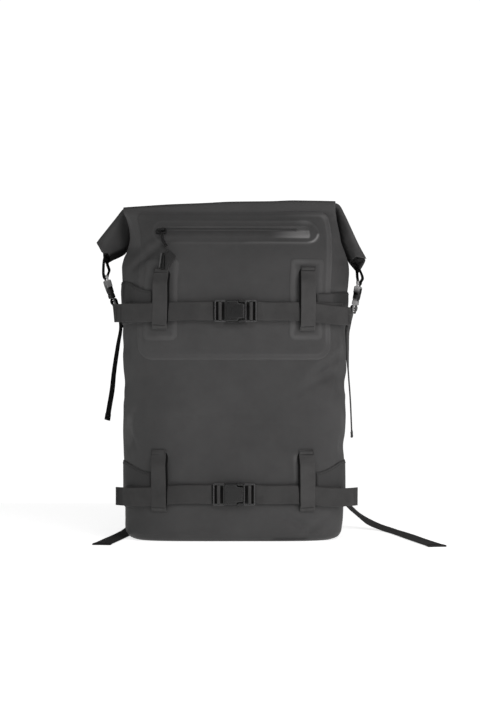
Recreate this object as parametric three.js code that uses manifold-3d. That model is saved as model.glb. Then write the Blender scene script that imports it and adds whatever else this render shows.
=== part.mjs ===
// Roll-top waterproof backpack, standing on its base. Millimetres, +Z up, front faces -Y.
import * as THREE from 'three';
import { mergeVertices } from 'three/addons/utils/BufferGeometryUtils.js';
import Module from 'manifold-3d';

const wasm = await Module();
wasm.setup();

// ---------- driving sizes ----------
const WALL = 1.6;            // coated fabric wall of the bag
const GAP = 0.6;             // clearance of a layer over the bag
const PLY = 1.0;             // welded panels, patches and wings
const BEAD = 0.8;            // height of a welded bead over its panel
const WEB_T = 1.3;           // webbing thickness
const WEB_W = 25;            // compression and harness webbing width
const SIDE_WEB_W = 20;       // side closure webbing width
const SQUARENESS = 4.5;      // power of the bag's rounded plan section
const RING_POINTS = 52;      // points round the bag

// bag sections: height, half width, middle, front face, back face
const BAG = [
  { z: 0, half: 135, mid: 0, front: -78, back: 70 },
  { z: 1.5, half: 140, mid: 0, front: -80.5, back: 72.5 },
  { z: 4, half: 144.5, mid: 0, front: -82, back: 74.5 },
  { z: 12, half: 149.3, mid: 0, front: -83, back: 76.5 },
  { z: 28, half: 151.5, mid: -0.3, front: -82.5, back: 78 },
  { z: 60, half: 152.3, mid: -0.7, front: -81.5, back: 79 },
  { z: 120, half: 152.6, mid: -0.8, front: -81, back: 79.4 },
  { z: 152, half: 153.9, mid: 0, front: -81, back: 79.5 },
  { z: 180, half: 153.6, mid: 0.6, front: -80.8, back: 79.5 },
  { z: 209, half: 152.2, mid: 0.8, front: -80.6, back: 79.5 },
  { z: 234, half: 153.9, mid: 0.3, front: -80.4, back: 79.4 },
  { z: 262, half: 154.4, mid: 0, front: -80.2, back: 79.2 },
  { z: 284, half: 153.6, mid: -0.4, front: -80, back: 79 },
  { z: 304, half: 154.6, mid: -0.2, front: -79.8, back: 78.6 },
  { z: 326, half: 156.8, mid: 0, front: -78.8, back: 78 },
  { z: 345, half: 157.5, mid: 0, front: -77.5, back: 77 },
  { z: 372, half: 156, mid: 1.5, front: -72, back: 72 },
  { z: 395, half: 151, mid: 2.5, front: -64, back: 61 },
  { z: 412, half: 147, mid: 2.5, front: -55.5, back: 46 },
  { z: 426, half: 146.5, mid: 1, front: -46.5, back: 28 },
  { z: 436, half: 147, mid: -1, front: -39, back: 10 },
  { z: 443, half: 148, mid: -2.5, front: -33.5, back: -4 },
  { z: 448, half: 149, mid: -4, front: -29.5, back: -13.5 },
  { z: 459, half: 149.5, mid: -5, front: -26.5, back: -17 },
];
// how far the left and the right edge of the bag are drawn in by its straps and folds (out where negative)
const EDGES = [
  { z: 0, left: 0, right: 0 }, { z: 14, left: 0, right: 1.2 }, { z: 30, left: 1, right: 1 }, { z: 45, left: 1.4, right: 1 }, { z: 58, left: 0, right: 0 }, { z: 106, left: 0, right: 0 },
  { z: 130, left: 0, right: 1.3 }, { z: 147, left: 0, right: 0.3 }, { z: 165, left: 0, right: 0 }, { z: 187, left: -0.6, right: 1 }, { z: 197, left: -0.8, right: 0.2 }, { z: 215, left: 0.8, right: 1.6 },
  { z: 232, left: 1.1, right: -0.6 }, { z: 250, left: 1.3, right: 0 }, { z: 264, left: 2.6, right: 0 }, { z: 281, left: 1.4, right: 0 }, { z: 298, left: 2.2, right: 0 }, { z: 328, left: 3.6, right: 1.2 },
  { z: 336, left: 3.6, right: 1.6 }, { z: 348, left: 4.1, right: 0.2 }, { z: 356, left: 2.9, right: -0.8 }, { z: 367, left: 0.4, right: -1.9 }, { z: 375, left: -1.2, right: -2.1 }, { z: 385, left: -1.6, right: -1.4 },
  { z: 396, left: 0, right: -0.6 }, { z: 415, left: 0, right: 0 }, { z: 459, left: 0, right: 0 },
];
const INNER_Z = [WALL, 8, 28, 45, 100, 152, 209, 262, 284, 326, 345, 361, 377, 398, 416, 430, 443, 459];
const LEAN_IN = 4.8;         // how far the right edge of the collar leans in towards the roll
const OUTER_Z = [0, 1.5, 4, 9, 18, 31, 44, 56, 95, 130, 152, 180, 209, 235, 262, 284, 304, 326, 345, 361, 377, 391, 404, 417, 429, 438, 446, 459];

// dents and folds pressed into the bag: place round the bag, height, reach each way, depth
const DENTS = [
  { s: -128, z: 388, wide: 20, tall: 17, deep: 2.6 },   // crease under the left end of the zip
  { s: 136, z: 222, wide: 22, tall: 16, deep: 3.0 },    // fold at the right edge, mid height
  { s: -150, z: 150, wide: 18, tall: 20, deep: 2.0 },   // facet at the left edge
  { s: 120, z: 20, wide: 26, tall: 16, deep: 2.0 },     // fold over the lower right corner
  { s: 40, z: 170, wide: 60, tall: 26, deep: 1.6 },     // slack of the front under the pocket
];

// ---------- bag surface ----------
function monotone(rows, key, column) {
  const n = rows.length, d = [], m = [];
  for (let i = 0; i < n - 1; i++) d.push((rows[i + 1][column] - rows[i][column]) / (rows[i + 1][key] - rows[i][key]));
  for (let i = 0; i < n; i++) m.push(i === 0 ? d[0] : i === n - 1 ? d[n - 2] : d[i - 1] * d[i] <= 0 ? 0 : 2 * d[i - 1] * d[i] / (d[i - 1] + d[i]));
  return (v) => {
    let i = 0;
    while (i < n - 2 && v > rows[i + 1][key]) i++;
    const h = rows[i + 1][key] - rows[i][key], t = (v - rows[i][key]) / h;
    if (t <= 0) return rows[i][column];
    if (t >= 1) return rows[i + 1][column];
    return rows[i][column] * (1 + 2 * t) * (1 - t) ** 2 + h * m[i] * t * (1 - t) ** 2
      + rows[i + 1][column] * t * t * (3 - 2 * t) + h * m[i + 1] * t * t * (t - 1);
  };
}
const bagHalf = monotone(BAG, 'z', 'half');
const bagMid = monotone(BAG, 'z', 'mid');
const bagFront = monotone(BAG, 'z', 'front');
const bagBack = monotone(BAG, 'z', 'back');
const edgeLeft = monotone(EDGES, 'z', 'left');
const edgeRight = monotone(EDGES, 'z', 'right');
const smooth = (a, b, v) => { const t = Math.min(1, Math.max(0, (v - a) / (b - a))); return t * t * (3 - 2 * t); };

// right half of a plan section, front middle to back middle, with its length so far
const HALF_STEPS = 360;
function halfSection(half, mid, front, back, z) {
  const depth = (back - front) / 2, yc = (back + front) / 2, pts = [];
  let run = 0, px = 0, py = yc - depth;
  for (let k = 0; k <= HALF_STEPS; k++) {
    const q = -Math.PI / 2 + Math.PI * k / HALF_STEPS, c = Math.cos(q), s = Math.sin(q);
    const x = half * Math.abs(c) ** (2 / SQUARENESS), y = yc + depth * Math.sign(s) * Math.abs(s) ** (2 / SQUARENESS);
    run += Math.hypot(x - px, y - py);
    pts.push({ x, y, run });
    px = x; py = y;
  }
  return { pts, mid, length: run, inLeft: edgeLeft(z), inRight: edgeRight(z) + LEAN_IN * smooth(385, 458, z) };
}
function along(section, s) {
  const a = Math.min(Math.abs(s), section.length), p = section.pts;
  let lo = 0, hi = p.length - 1;
  while (hi - lo > 1) { const m = (lo + hi) >> 1; if (p[m].run <= a) lo = m; else hi = m; }
  const f = (a - p[lo].run) / Math.max(1e-9, p[hi].run - p[lo].run);
  const x = p[lo].x + (p[hi].x - p[lo].x) * f, y = p[lo].y + (p[hi].y - p[lo].y) * f;
  const edge = smooth(126, 150, x);
  return [section.mid + (s < 0 ? section.inLeft * edge - x : x - section.inRight * edge), y];
}
const sectionStore = new Map();
function sectionAt(z) {
  const zz = Math.min(BAG[BAG.length - 1].z, Math.max(0, z)), key = Math.round(zz * 50);
  if (!sectionStore.has(key)) sectionStore.set(key, halfSection(bagHalf(zz), bagMid(zz), bagFront(zz), bagBack(zz), zz));
  return sectionStore.get(key);
}
function basePoint(s, z) {
  const [x, y] = along(sectionAt(z), s);
  return new THREE.Vector3(x, y, z);
}
const dentAt = (s, z) => DENTS.reduce((sum, d) => sum - d.deep * Math.exp(-(((s - d.s) / d.wide) ** 2) - ((z - d.z) / d.tall) ** 2), 0);
function normalAt(s, z) {
  const ds = basePoint(s + 3, z).sub(basePoint(s - 3, z)), dz = basePoint(s, z + 2).sub(basePoint(s, z - 2));
  return ds.cross(dz).normalize();
}
// point at distance s round the bag from the front middle, height z, standing off the wall
function onBag(s, z, off = 0) {
  return basePoint(s, z).addScaledVector(normalAt(s, z), off + dentAt(s, z));
}

// ---------- solids from rings, grids and outlines ----------
function solid(points, triangles) {
  let six = 0;
  for (const [a, b, c] of triangles) six += points[a].dot(new THREE.Vector3().crossVectors(points[b], points[c]));
  const g = new THREE.BufferGeometry();
  g.setAttribute('position', new THREE.Float32BufferAttribute(points.flatMap((p) => [p.x, p.y, p.z]), 3));
  g.setIndex(triangles.flatMap(([a, b, c]) => (six < 0 ? [a, c, b] : [a, b, c])));
  return g;
}
// skin through closed rings of equal count; the ends are closed by a fan, or across the band of a flat spiral
function loft(rings, ends = 'fan') {
  const n = rings[0].length, points = rings.flat(), tri = [];
  for (let r = 0; r < rings.length - 1; r++) for (let i = 0; i < n; i++) {
    const a = r * n + i, b = r * n + (i + 1) % n;
    tri.push([a, b, b + n], [a, b + n, a + n]);
  }
  const closeEnd = (r, flip) => {
    const o = r * n, put = (a, b, c) => tri.push(flip ? [a, c, b] : [a, b, c]);
    if (ends === 'band') {
      for (let i = 0; i < n / 2 - 1; i++) { put(o + i, o + n - 2 - i, o + i + 1); put(o + i, o + n - 1 - i, o + n - 2 - i); }
    } else {
      const mid = rings[r].reduce((v, p) => v.add(p), new THREE.Vector3()).divideScalar(n);
      points.push(mid);
      for (let i = 0; i < n; i++) put(points.length - 1, o + (i + 1) % n, o + i);
    }
  };
  closeEnd(0, false);
  closeEnd(rings.length - 1, true);
  return solid(points, tri);
}
// a ply laid on the bag: grid of places with an inner and an outer stand-off
function ply(cols, rows, place, inner, outer, keep = () => true) {
  const points = [], tri = [], w = cols + 1, count = w * (rows + 1);
  for (const side of [outer, inner]) for (let j = 0; j <= rows; j++) for (let i = 0; i <= cols; i++) {
    const [s, z] = place(i, j);
    points.push(onBag(s, z, side(s, z)));
  }
  const has = (i, j) => i >= 0 && j >= 0 && i < cols && j < rows && keep(i, j);
  const quad = (a, b, c, d) => tri.push([a, b, c], [a, c, d]);
  for (let j = 0; j < rows; j++) for (let i = 0; i < cols; i++) {
    if (!has(i, j)) continue;
    const a = j * w + i, b = a + 1, c = b + w, d = a + w;
    quad(a, b, c, d);
    quad(d + count, c + count, b + count, a + count);
    if (!has(i, j - 1)) quad(b, a, a + count, b + count);
    if (!has(i, j + 1)) quad(d, c, c + count, d + count);
    if (!has(i - 1, j)) quad(a, d, d + count, a + count);
    if (!has(i + 1, j)) quad(c, b, b + count, c + count);
  }
  const used = new Map(), kept = [];
  for (const t of tri) for (let k = 0; k < 3; k++) {
    if (!used.has(t[k])) { used.set(t[k], kept.length); kept.push(points[t[k]]); }
    t[k] = used.get(t[k]);
  }
  return solid(kept, tri);
}
// outline of a ribbon of one thickness along a flat path
function ribbon(path, thick) {
  const left = [], right = [], n = path.length;
  for (let i = 0; i < n; i++) {
    const a = path[Math.max(0, i - 1)], b = path[i], c = path[Math.min(n - 1, i + 1)];
    const d1 = b.clone().sub(a).normalize(), d2 = c.clone().sub(b).normalize();
    if (i === 0) d1.copy(d2);
    if (i === n - 1) d2.copy(d1);
    const m = d1.clone().add(d2).normalize(), h = thick / 2 / Math.max(0.6, m.dot(d1));
    left.push(new THREE.Vector2(b.x - m.y * h, b.y + m.x * h));
    right.push(new THREE.Vector2(b.x + m.y * h, b.y - m.x * h));
  }
  return new THREE.Shape([...left, ...right.reverse()]);
}
const flatExtrude = (shape, depth) => new THREE.ExtrudeGeometry(shape, { depth, bevelEnabled: false, curveSegments: 6 });
function boxShape(x0, x1, y0, y1, cut = 0) {
  return new THREE.Shape([[x0 + cut, y0], [x1 - cut, y0], [x1, y0 + cut], [x1, y1 - cut], [x1 - cut, y1], [x0 + cut, y1], [x0, y1 - cut], [x0, y0 + cut]]
    .filter((p, i) => cut > 0 || i % 2 === 0).map(([x, y]) => new THREE.Vector2(x, y)));
}
function withSlots(shape, slots) {
  for (const [x0, x1, y0, y1] of slots) shape.holes.push(new THREE.Path([[x0, y0], [x0, y1], [x1, y1], [x1, y0]].map(([x, y]) => new THREE.Vector2(x, y))));
  return shape;
}
function asManifold(geometry) {
  const g = geometry.clone();
  g.deleteAttribute('normal');
  g.deleteAttribute('uv');
  const m = mergeVertices(g, 1e-4);
  return new wasm.Manifold(new wasm.Mesh({ numProp: 3, vertProperties: new Float32Array(m.attributes.position.array), triVerts: new Uint32Array(m.index.array) }));
}
function joined(list) {
  const mesh = list.map(asManifold).reduce((a, b) => a.add(b)).getMesh(), g = new THREE.BufferGeometry();
  g.setAttribute('position', new THREE.Float32BufferAttribute(Array.from(mesh.vertProperties), 3));
  g.setIndex(Array.from(mesh.triVerts));
  return g;
}
// flat strip along a path in space, its width kept as near as it can be to a given direction
function strip(path, widthAt, width, thick) {
  const rings = path.map((p, i) => {
    const t = path[Math.min(path.length - 1, i + 1)].clone().sub(path[Math.max(0, i - 1)]).normalize(), widthDir = widthAt(i);
    const w = widthDir.clone().addScaledVector(t, -widthDir.dot(t)).normalize(), n = t.clone().cross(w);
    return [[1, 1], [-1, 1], [-1, -1], [1, -1]].map(([a, b]) => p.clone().addScaledVector(w, a * width / 2).addScaledVector(n, b * thick / 2));
  });
  return loft(rings);
}
const V3 = (x, y, z) => new THREE.Vector3(x, y, z);
const V2 = (x, y) => new THREE.Vector2(x, y);

const bag = new THREE.Group();
bag.name = 'waterproof_backpack';
const LOOKS = {
  fabric: { color: 0x46464a, roughness: 0.6 },
  webbing: { color: 0x3c3c40, roughness: 0.8 },
  plastic: { color: 0x1b1b1d, roughness: 0.35 },
  zip: { color: 0x202022, roughness: 0.5 },
};
function add(name, geometry, look) {
  const mesh = new THREE.Mesh(geometry, new THREE.MeshStandardMaterial(LOOKS[look]));
  mesh.name = name;
  bag.add(mesh);
}

// ---------- bag shell ----------
// ring places, closer together round the corners
const RING_FRACTIONS = (() => {
  const sec = sectionAt(200), weight = [0];
  for (let k = 1; k < sec.pts.length; k++) {
    const a = sec.pts[k - 1], b = sec.pts[k], c = sec.pts[Math.min(sec.pts.length - 1, k + 1)];
    const turn = Math.abs(Math.atan2(c.y - b.y, c.x - b.x) - Math.atan2(b.y - a.y, b.x - a.x));
    weight.push(weight[k - 1] + (b.run - a.run) / 17 + (Number.isFinite(turn) && turn < 1 ? turn * 4 : 0));
  }
  const half = RING_POINTS / 2, out = [];
  for (let i = 0; i <= half / 2; i++) {
    const want = weight[weight.length - 1] * i / half;
    let k = 0;
    while (k < weight.length - 2 && weight[k + 1] < want) k++;
    const f = (want - weight[k]) / Math.max(1e-9, weight[k + 1] - weight[k]);
    out.push(i === half / 2 ? 0.5 : (sec.pts[k].run + (sec.pts[k + 1].run - sec.pts[k].run) * f) / sec.length);
  }
  for (let i = half / 2 - 1; i >= 0; i--) out.push(1 - out[i]);
  return out;
})();
function bagRing(z, inset) {
  const e = 0.75, sec = (f) => Math.min(4, Math.sqrt(1 + ((f(z + e) - f(z - e)) / (2 * e)) ** 2));
  const section = inset === 0 ? sectionAt(z) : halfSection(bagHalf(z) - inset * Math.min(2.2, sec(bagHalf)), bagMid(z),
    bagFront(z) + inset * sec(bagFront), bagBack(z) - inset * sec(bagBack), z);
  const outer = sectionAt(z), ring = [];
  const put = (f, side) => {
    const [x, y] = along(section, side * f * section.length), s = side * f * outer.length;
    ring.push(V3(x, y, z).addScaledVector(normalAt(s, z), dentAt(s, z)));
  };
  for (let i = 0; i < RING_FRACTIONS.length; i++) put(RING_FRACTIONS[i], 1);
  for (let i = RING_FRACTIONS.length - 2; i > 0; i--) put(RING_FRACTIONS[i], -1);
  return ring;
}
add('bag_shell', loft([...OUTER_Z.map((z) => bagRing(z, 0)), ...[...INNER_Z].reverse().map((z) => bagRing(z, WALL))]), 'fabric');

// ---------- rolled collar ----------
// centre line of the roll: place, tilt of its flat section out of the picture, lean of the section from upright, half width and half thickness
const ROLL = [
  { x: -183.2, y: -2, z: 393.6, tilt: 2, lean: 26.7, wide: 16.7, thick: 5.4 },
  { x: -172.4, y: 1, z: 404.2, tilt: 3, lean: 15.6, wide: 21.7, thick: 5.8 },
  { x: -161.8, y: 5, z: 414, tilt: 6, lean: 8.9, wide: 27, thick: 5.8 },
  { x: -153.4, y: 9, z: 422.6, tilt: 9, lean: 5, wide: 31, thick: 5.6 },
  { x: -146.4, y: 16, z: 440, tilt: 38, lean: 2, wide: 19, thick: 5.8 },
  { x: -138, y: 17.5, z: 445, tilt: 50, lean: 1, wide: 17.8, thick: 6 },
  { x: -112, y: 14.5, z: 448.5, tilt: 62, lean: 0, wide: 18.5, thick: 6.2 },
  { x: -5, y: 11, z: 452.5, tilt: 63, lean: 0, wide: 18.5, thick: 6.2 },
  { x: 102, y: 12, z: 454.2, tilt: 62, lean: 0, wide: 18.5, thick: 6.2 },
  { x: 124, y: 15, z: 453, tilt: 58, lean: -8, wide: 18, thick: 6.2 },
  { x: 138.4, y: 17.5, z: 452.4, tilt: 52, lean: -28, wide: 17, thick: 6 },
  { x: 148.4, y: 14.5, z: 440.8, tilt: 45, lean: -44, wide: 13.5, thick: 5.8 },
  { x: 156.8, y: 7.8, z: 424, tilt: 35, lean: -59, wide: 10.4, thick: 5.8 },
  { x: 164.3, y: 4.4, z: 403, tilt: 28, lean: -69, wide: 11, thick: 6 },
  { x: 173.1, y: 0.6, z: 382.8, tilt: 20, lean: -76, wide: 12.2, thick: 6 },
];
const ROLL_HALF = 18.5, ROLL_PLIES = 6.2, ROLL_PITCH = 3.4, ROLL_PLY = 1.6, ROLL_TURNS = 1.75, ROLL_STATIONS = 34, ROLL_TURN_POINTS = 10;
function spiralBand() {
  const line = [], count = Math.round(ROLL_TURNS * ROLL_TURN_POINTS);
  for (let k = 0; k <= count; k++) {
    const turn = k / ROLL_TURN_POINTS, q = Math.PI + 2 * Math.PI * turn, inset = ROLL_PITCH * turn;
    const h = ROLL_PLIES - inset, flat = ROLL_HALF - ROLL_PLIES;
    const c = Math.cos(q), s = Math.sin(q);
    line.push(V2(Math.sign(c) * flat * Math.min(1, Math.abs(c) * 2.2) + h * c, h * s));
  }
  return ribbon(line, ROLL_PLY).getPoints();
}
const rollCurve = (column) => {
  const c = new THREE.CatmullRomCurve3(ROLL.map((r, i) => V3(i, r[column], 0)));
  return (u) => c.getPoint(u).y;
};
const rollLine = new THREE.CatmullRomCurve3(ROLL.map((r) => V3(r.x, r.y, r.z)), false, 'centripetal');
const [rollTilt, rollLean, rollWide, rollThick] = ['tilt', 'lean', 'wide', 'thick'].map(rollCurve), band = spiralBand();
function rollFrame(u) {
  const p = rollLine.getPoint(u), t = rollLine.getTangent(u), tilt = THREE.MathUtils.degToRad(rollTilt(u)), lean = THREE.MathUtils.degToRad(rollLean(u));
  const l = V3(Math.sin(lean), 0, -Math.cos(lean)).multiplyScalar(Math.cos(tilt)).add(V3(0, Math.sin(tilt), 0));
  return { p, t, l, n: t.clone().cross(l).normalize(), wide: rollWide(u) / ROLL_HALF, thick: rollThick(u) / ROLL_PLIES };
}
add('roll_top', loft(Array.from({ length: ROLL_STATIONS + 1 }, (_, i) => {
  const f = rollFrame(i / ROLL_STATIONS);
  return band.map((b) => f.p.clone().addScaledVector(f.l, b.x * f.wide).addScaledVector(f.n, b.y * f.thick));
}), 'band'), 'fabric');

// ---------- front pocket panel and zip ----------
const PANEL_S = 130, PANEL_LOW = 246, PANEL_HIGH = 445;
const ZIP_Z = 420, ZIP_HALF = 107, ZIP_SLOT = 4.5, BEZEL_RISE = 16;
const panelCols = [-130, -127, -124, -117, -107, -92, -75, -50, 0, 50, 75, 92, 107, 117, 124, 127, 130];
const panelRows = [246, 249, 252, 275, 300, 322, 341, 358, 374, 390, 402, 406, 410, 415.5, 424.5, 430, 434, 438, 442, 445];
const hump = (d, wide) => (Math.abs(d) < wide ? Math.cos(d / wide * Math.PI / 2) ** 2 : 0);
const panelRim = (s, z) => Math.min(PANEL_S - Math.abs(s), z - PANEL_LOW, PANEL_HIGH - z);
const bezelGap = (s, z) => Math.hypot(Math.max(0, Math.abs(s) - ZIP_HALF + 8), z - ZIP_Z) - (BEZEL_RISE - 2);
add('pocket_panel', ply(panelCols.length - 1, panelRows.length - 1, (i, j) => [panelCols[i], panelRows[j]],
  () => GAP, (s, z) => GAP + PLY + BEAD * Math.max(hump(panelRim(s, z) - 3, 3), hump(bezelGap(s, z), 4)),
  (i, j) => !(Math.abs(panelCols[i] + panelCols[i + 1]) < 2 * ZIP_HALF && Math.abs(panelRows[j] + panelRows[j + 1] - 2 * ZIP_Z) < 2)), 'fabric');
const lerp = (a, b, t) => a + (b - a) * t;
add('zip_tape', ply(14, 2, (i, j) => [lerp(-ZIP_HALF + 0.4, ZIP_HALF - 0.4, i / 14), lerp(ZIP_Z - ZIP_SLOT + 0.4, ZIP_Z + ZIP_SLOT - 0.4, j / 2)],
  () => GAP, () => GAP + 0.9), 'zip');

// a piece built flat (x across, y up, z out) and laid on the bag at a place
function laidOn(geometry, s, z, off) {
  const n = normalAt(s, z), across = basePoint(s + 3, z).sub(basePoint(s - 3, z)).normalize(), up = n.clone().cross(across);
  const m = new THREE.Matrix4().makeBasis(across, up, n).setPosition(onBag(s, z, off));
  return geometry.applyMatrix4(m);
}
const PULL_S = -102, SLIDER = { wide: 12, tall: 8, thick: 3.4, off: 2.1 };
add('zip_slider', laidOn(flatExtrude(boxShape(-SLIDER.wide / 2, SLIDER.wide / 2, -SLIDER.tall / 2, SLIDER.tall / 2, 1.6), SLIDER.thick), PULL_S, ZIP_Z, SLIDER.off), 'zip');
const CORD_R = 1.0, CORD_OFF = 6.9, CORD_GAP = 1.5;
// looped pull cord: middle line of its two strands, from the slider's eye down to the tab
const CORD = [{ s: -100, z: 413 }, { s: -99, z: 407 }, { s: -96.4, z: 400.8 }, { s: -93.4, z: 396.2 }];
// pull tab: place of its middle, stand-off, thickness, and its corners across and up
const TAB = { s: -91, z: 380, off: 5.6, thick: 2.6, corners: [[-1.5, 14], [2, 11], [10.5, 3], [2.5, -10.5], [-2.5, -15], [-9.5, -13], [-7, 8]] };
const strand = (side) => CORD.map((c, i) => {
  const u = CORD[Math.max(0, i - 1)], v = CORD[Math.min(CORD.length - 1, i + 1)], d = Math.hypot(v.s - u.s, v.z - u.z);
  return onBag(c.s - side * CORD_GAP * (v.z - u.z) / d, c.z + side * CORD_GAP * (v.s - u.s) / d, CORD_OFF);
});
const cordLine = new THREE.CatmullRomCurve3([...strand(-1).reverse(), onBag(CORD[0].s - 0.1, CORD[0].z + 1.5, CORD_OFF), ...strand(1)]);
const cordSection = new THREE.Shape(Array.from({ length: 8 }, (_, k) => V2(CORD_R * Math.cos(k * Math.PI / 4), CORD_R * Math.sin(k * Math.PI / 4))));
add('zip_pull_cord', new THREE.ExtrudeGeometry(cordSection, { steps: 24, extrudePath: cordLine, bevelEnabled: false }), 'webbing');
add('zip_pull_tab', laidOn(flatExtrude(new THREE.Shape(TAB.corners.map((c) => V2(...c))), TAB.thick), TAB.s, TAB.z, TAB.off), 'plastic');

// ---------- lash loops and their patches ----------
const PATCH = { half: 21, low: 268, high: 382, in: GAP + PLY + 0.7 };
const LOOP_HALF = 10, LOOP_T = 1.3, LOOP_ROWS = [0, 0.02, 0.045, 0.08, 0.2, 0.35, 0.5, 0.65, 0.73, 0.78, 0.83, 0.88, 0.93, 1];
const LOOPS = [
  { name: 'loop_upper_left', s: -99, low: 286, high: 368, seat: 3.7, bow: 9.4 },
  { name: 'loop_upper_right', s: 99, low: 286, high: 368, seat: 3.7, bow: 9.4 },
  { name: 'loop_lower_left', s: -100, low: 40, high: 124, seat: GAP, bow: 6.0 },
  { name: 'loop_lower_right', s: 97, low: 40, high: 124, seat: GAP, bow: 6.0 },
];
for (const [name, s0] of [['loop_patch_left', -98], ['loop_patch_right', 98]]) {
  add(name, ply(6, 10, (i, j) => [s0 + PATCH.half * [-1, -0.86, -0.72, 0, 0.72, 0.86, 1][i], lerp(PATCH.low, PATCH.high, [0, 0.023, 0.046, 0.2, 0.4, 0.58, 0.74, 0.87, 0.954, 0.977, 1][j])],
    () => PATCH.in, (s, z) => PATCH.in + 0.7 + 0.4 * hump(Math.min(PATCH.half - Math.abs(s - s0), z - PATCH.low, PATCH.high - z) - 3, 3)), 'fabric');
}
for (const L of LOOPS) {
  const rise = (z) => L.seat + (L.bow - L.seat) * smooth(L.low + 1, L.low + 6.5, z) * (1 - smooth(L.high - 22, L.high - 6, z));
  add(L.name, ply(2, LOOP_ROWS.length - 1, (i, j) => [L.s + LOOP_HALF * (i - 1), lerp(L.low, L.high, LOOP_ROWS[j])], (s, z) => rise(z), (s, z) => rise(z) + LOOP_T), 'webbing');
}

// ---------- side wings ----------
// fabric wing: front and back ends round the bag, its lower and upper edges at each end, how much lower the right one's top is, stand-off over the pocket
const WINGS = [
  { name: 'wing_upper', front: 111, back: 245, lowF: 296, highF: 338, lowB: 293, highB: 350, dropRight: [3.5, 12], lift: 3.7, liftEnd: 136 },
  { name: 'wing_lower', front: 112, back: 245, lowF: 47, highF: 93, lowB: 44, highB: 107, dropRight: [0, 0], lift: GAP + 0.3, liftEnd: 136 },
];
const WING_COLS = [0, 0.05, 0.1, 0.15, 0.2, 0.25, 0.3, 0.36, 0.44, 0.6, 0.8, 0.9, 1];
const wingOff = (w, s) => lerp(w.lift, GAP + 0.3, smooth(w.liftEnd - 2, w.liftEnd + 12, Math.abs(s)));
for (const w of WINGS) for (const [side, sign] of [['left', -1], ['right', 1]]) {
  const edge = (a, b, t) => lerp(a, b, smooth(0, 0.36, t)), [dropF, dropB] = sign > 0 ? w.dropRight : [0, 0];
  add(`${w.name}_${side}`, ply(WING_COLS.length - 1, 3, (i, j) => {
    const t = WING_COLS[i], s = lerp(w.front, w.back, t);
    return [sign * s, lerp(edge(w.lowF, w.lowB, t), edge(w.highF - dropF, w.highB - dropB, t), j / 3)];
  }, (s) => wingOff(w, s), (s) => wingOff(w, s) + PLY), 'fabric');
}

// ---------- compression straps and buckles ----------
// per belt: height, buckle middle, stand-off of the two strands and of the buckle's bar plate, how far each tail lifts off the bag and where it ends
const BELTS = [
  { name: 'upper', z: 310, mid: 2.7, main: 6.1, tail: 7.8, plate: 8.9, base: 3.2, wing: WINGS[0], liftLeft: 9.5, liftRight: 2.5, endLeft: 157.5, endRight: 159 },
  { name: 'lower', z: 61, mid: 0.7, main: 3.0, tail: 4.7, plate: 5.8, base: 1.1, wing: WINGS[1], liftLeft: 9, liftRight: 16, endLeft: 161, endRight: 162 },
];
const MAIN_STOPS = [150, 146, 142, 138, 134, 129, 124, 118, 112, 104, 92, 75, 55, 36];
const TAIL_STOPS = [38, 56, 76, 93, 105, 113, 120, 127, 134, 141, 148], TAIL_LEAVE = 112, TAIL_END = 162;
const BUCKLE = { end: 28.5, outerSlot: [22.5, 26], innerSlot: [16, 19], halfHigh: 15.4, slotHigh: 13, plate: 2.4, head: 5.2, split: 6 };
for (const b of BELTS) {
  const face = onBag(0, b.z, 0).y;
  for (const [side, sign, lift, end] of [['left', -1, b.liftLeft, b.endLeft], ['right', 1, b.liftRight, b.endRight]]) {
    const path = MAIN_STOPS.map((s) => {
      const p = onBag(sign * s, b.z, Math.min(b.main, wingOff(b.wing, s) + PLY + 0.75 + WEB_T / 2));
      return V2(p.x, p.y);
    });
    const top = b.plate + BUCKLE.plate + 0.35 + WEB_T / 2;
    for (const [u, w] of [[30, b.main], [18.7, b.main], [17.5, b.main + 1.1], [17.5, top - 0.9], [18.4, top], [23.3, top], [24.2, top - 0.9], [24.2, b.tail + 1], [25.2, b.tail], [30, b.tail]]) path.push(V2(b.mid + sign * u, face - w));
    for (const s of [...TAIL_STOPS, (148 + end) / 2, end]) {
      const p = onBag(sign * s, b.z, b.tail + lift * Math.max(0, (s - TAIL_LEAVE) / (TAIL_END - TAIL_LEAVE)) ** 1.5);
      path.push(V2(p.x, p.y));
    }
    add(`strap_${b.name}_${side}`, flatExtrude(ribbon(path, WEB_T), WEB_W).translate(0, 0, b.z - WEB_W / 2), 'webbing');
  }
  const stand = (shape, from, to) => flatExtrude(shape, to - from).rotateX(Math.PI / 2).translate(b.mid, face - from, b.z);
  const B = BUCKLE, hh = B.halfHigh, head = b.plate + B.head;
  const bars = (sign) => withSlots(sign < 0 ? boxShape(-B.end, -14.5, -hh, hh, 2) : boxShape(14.5, B.end, -hh, hh, 2),
    [[...B.outerSlot, B.slotHigh], [...B.innerSlot, B.slotHigh - 0.1]].map(([p, q, h]) => [Math.min(sign * p, sign * q), Math.max(sign * p, sign * q), -h, h]));
  const socket = new THREE.Shape([[-15.6, -hh + 1.5], [-13.6, -hh], [-5, -hh], [-3.5, -10.4], [B.split, -10.4], [B.split, 10.4], [-3.5, 10.4], [-5, hh], [-13.6, hh], [-15.6, hh - 1.5]].map((p) => V2(...p)));
  const plug = new THREE.Shape([[B.split + 0.4, -10.9], [-2.4, -10.9], [-3.6, -13.4], [0, -14.8], [11, -hh], [15.6, -hh], [15.6, hh], [11, hh], [0, 14.8], [-3.6, 13.4], [-2.4, 10.9], [B.split + 0.4, 10.9]].map((p) => V2(...p)));
  add(`buckle_${b.name}_socket`, joined([stand(socket, b.base, head), stand(bars(-1), b.plate, b.plate + B.plate)]), 'plastic');
  add(`buckle_${b.name}_plug`, joined([stand(plug, b.base + 1.2, head - 1.2), stand(bars(1), b.plate, b.plate + B.plate)]), 'plastic');
}

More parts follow.
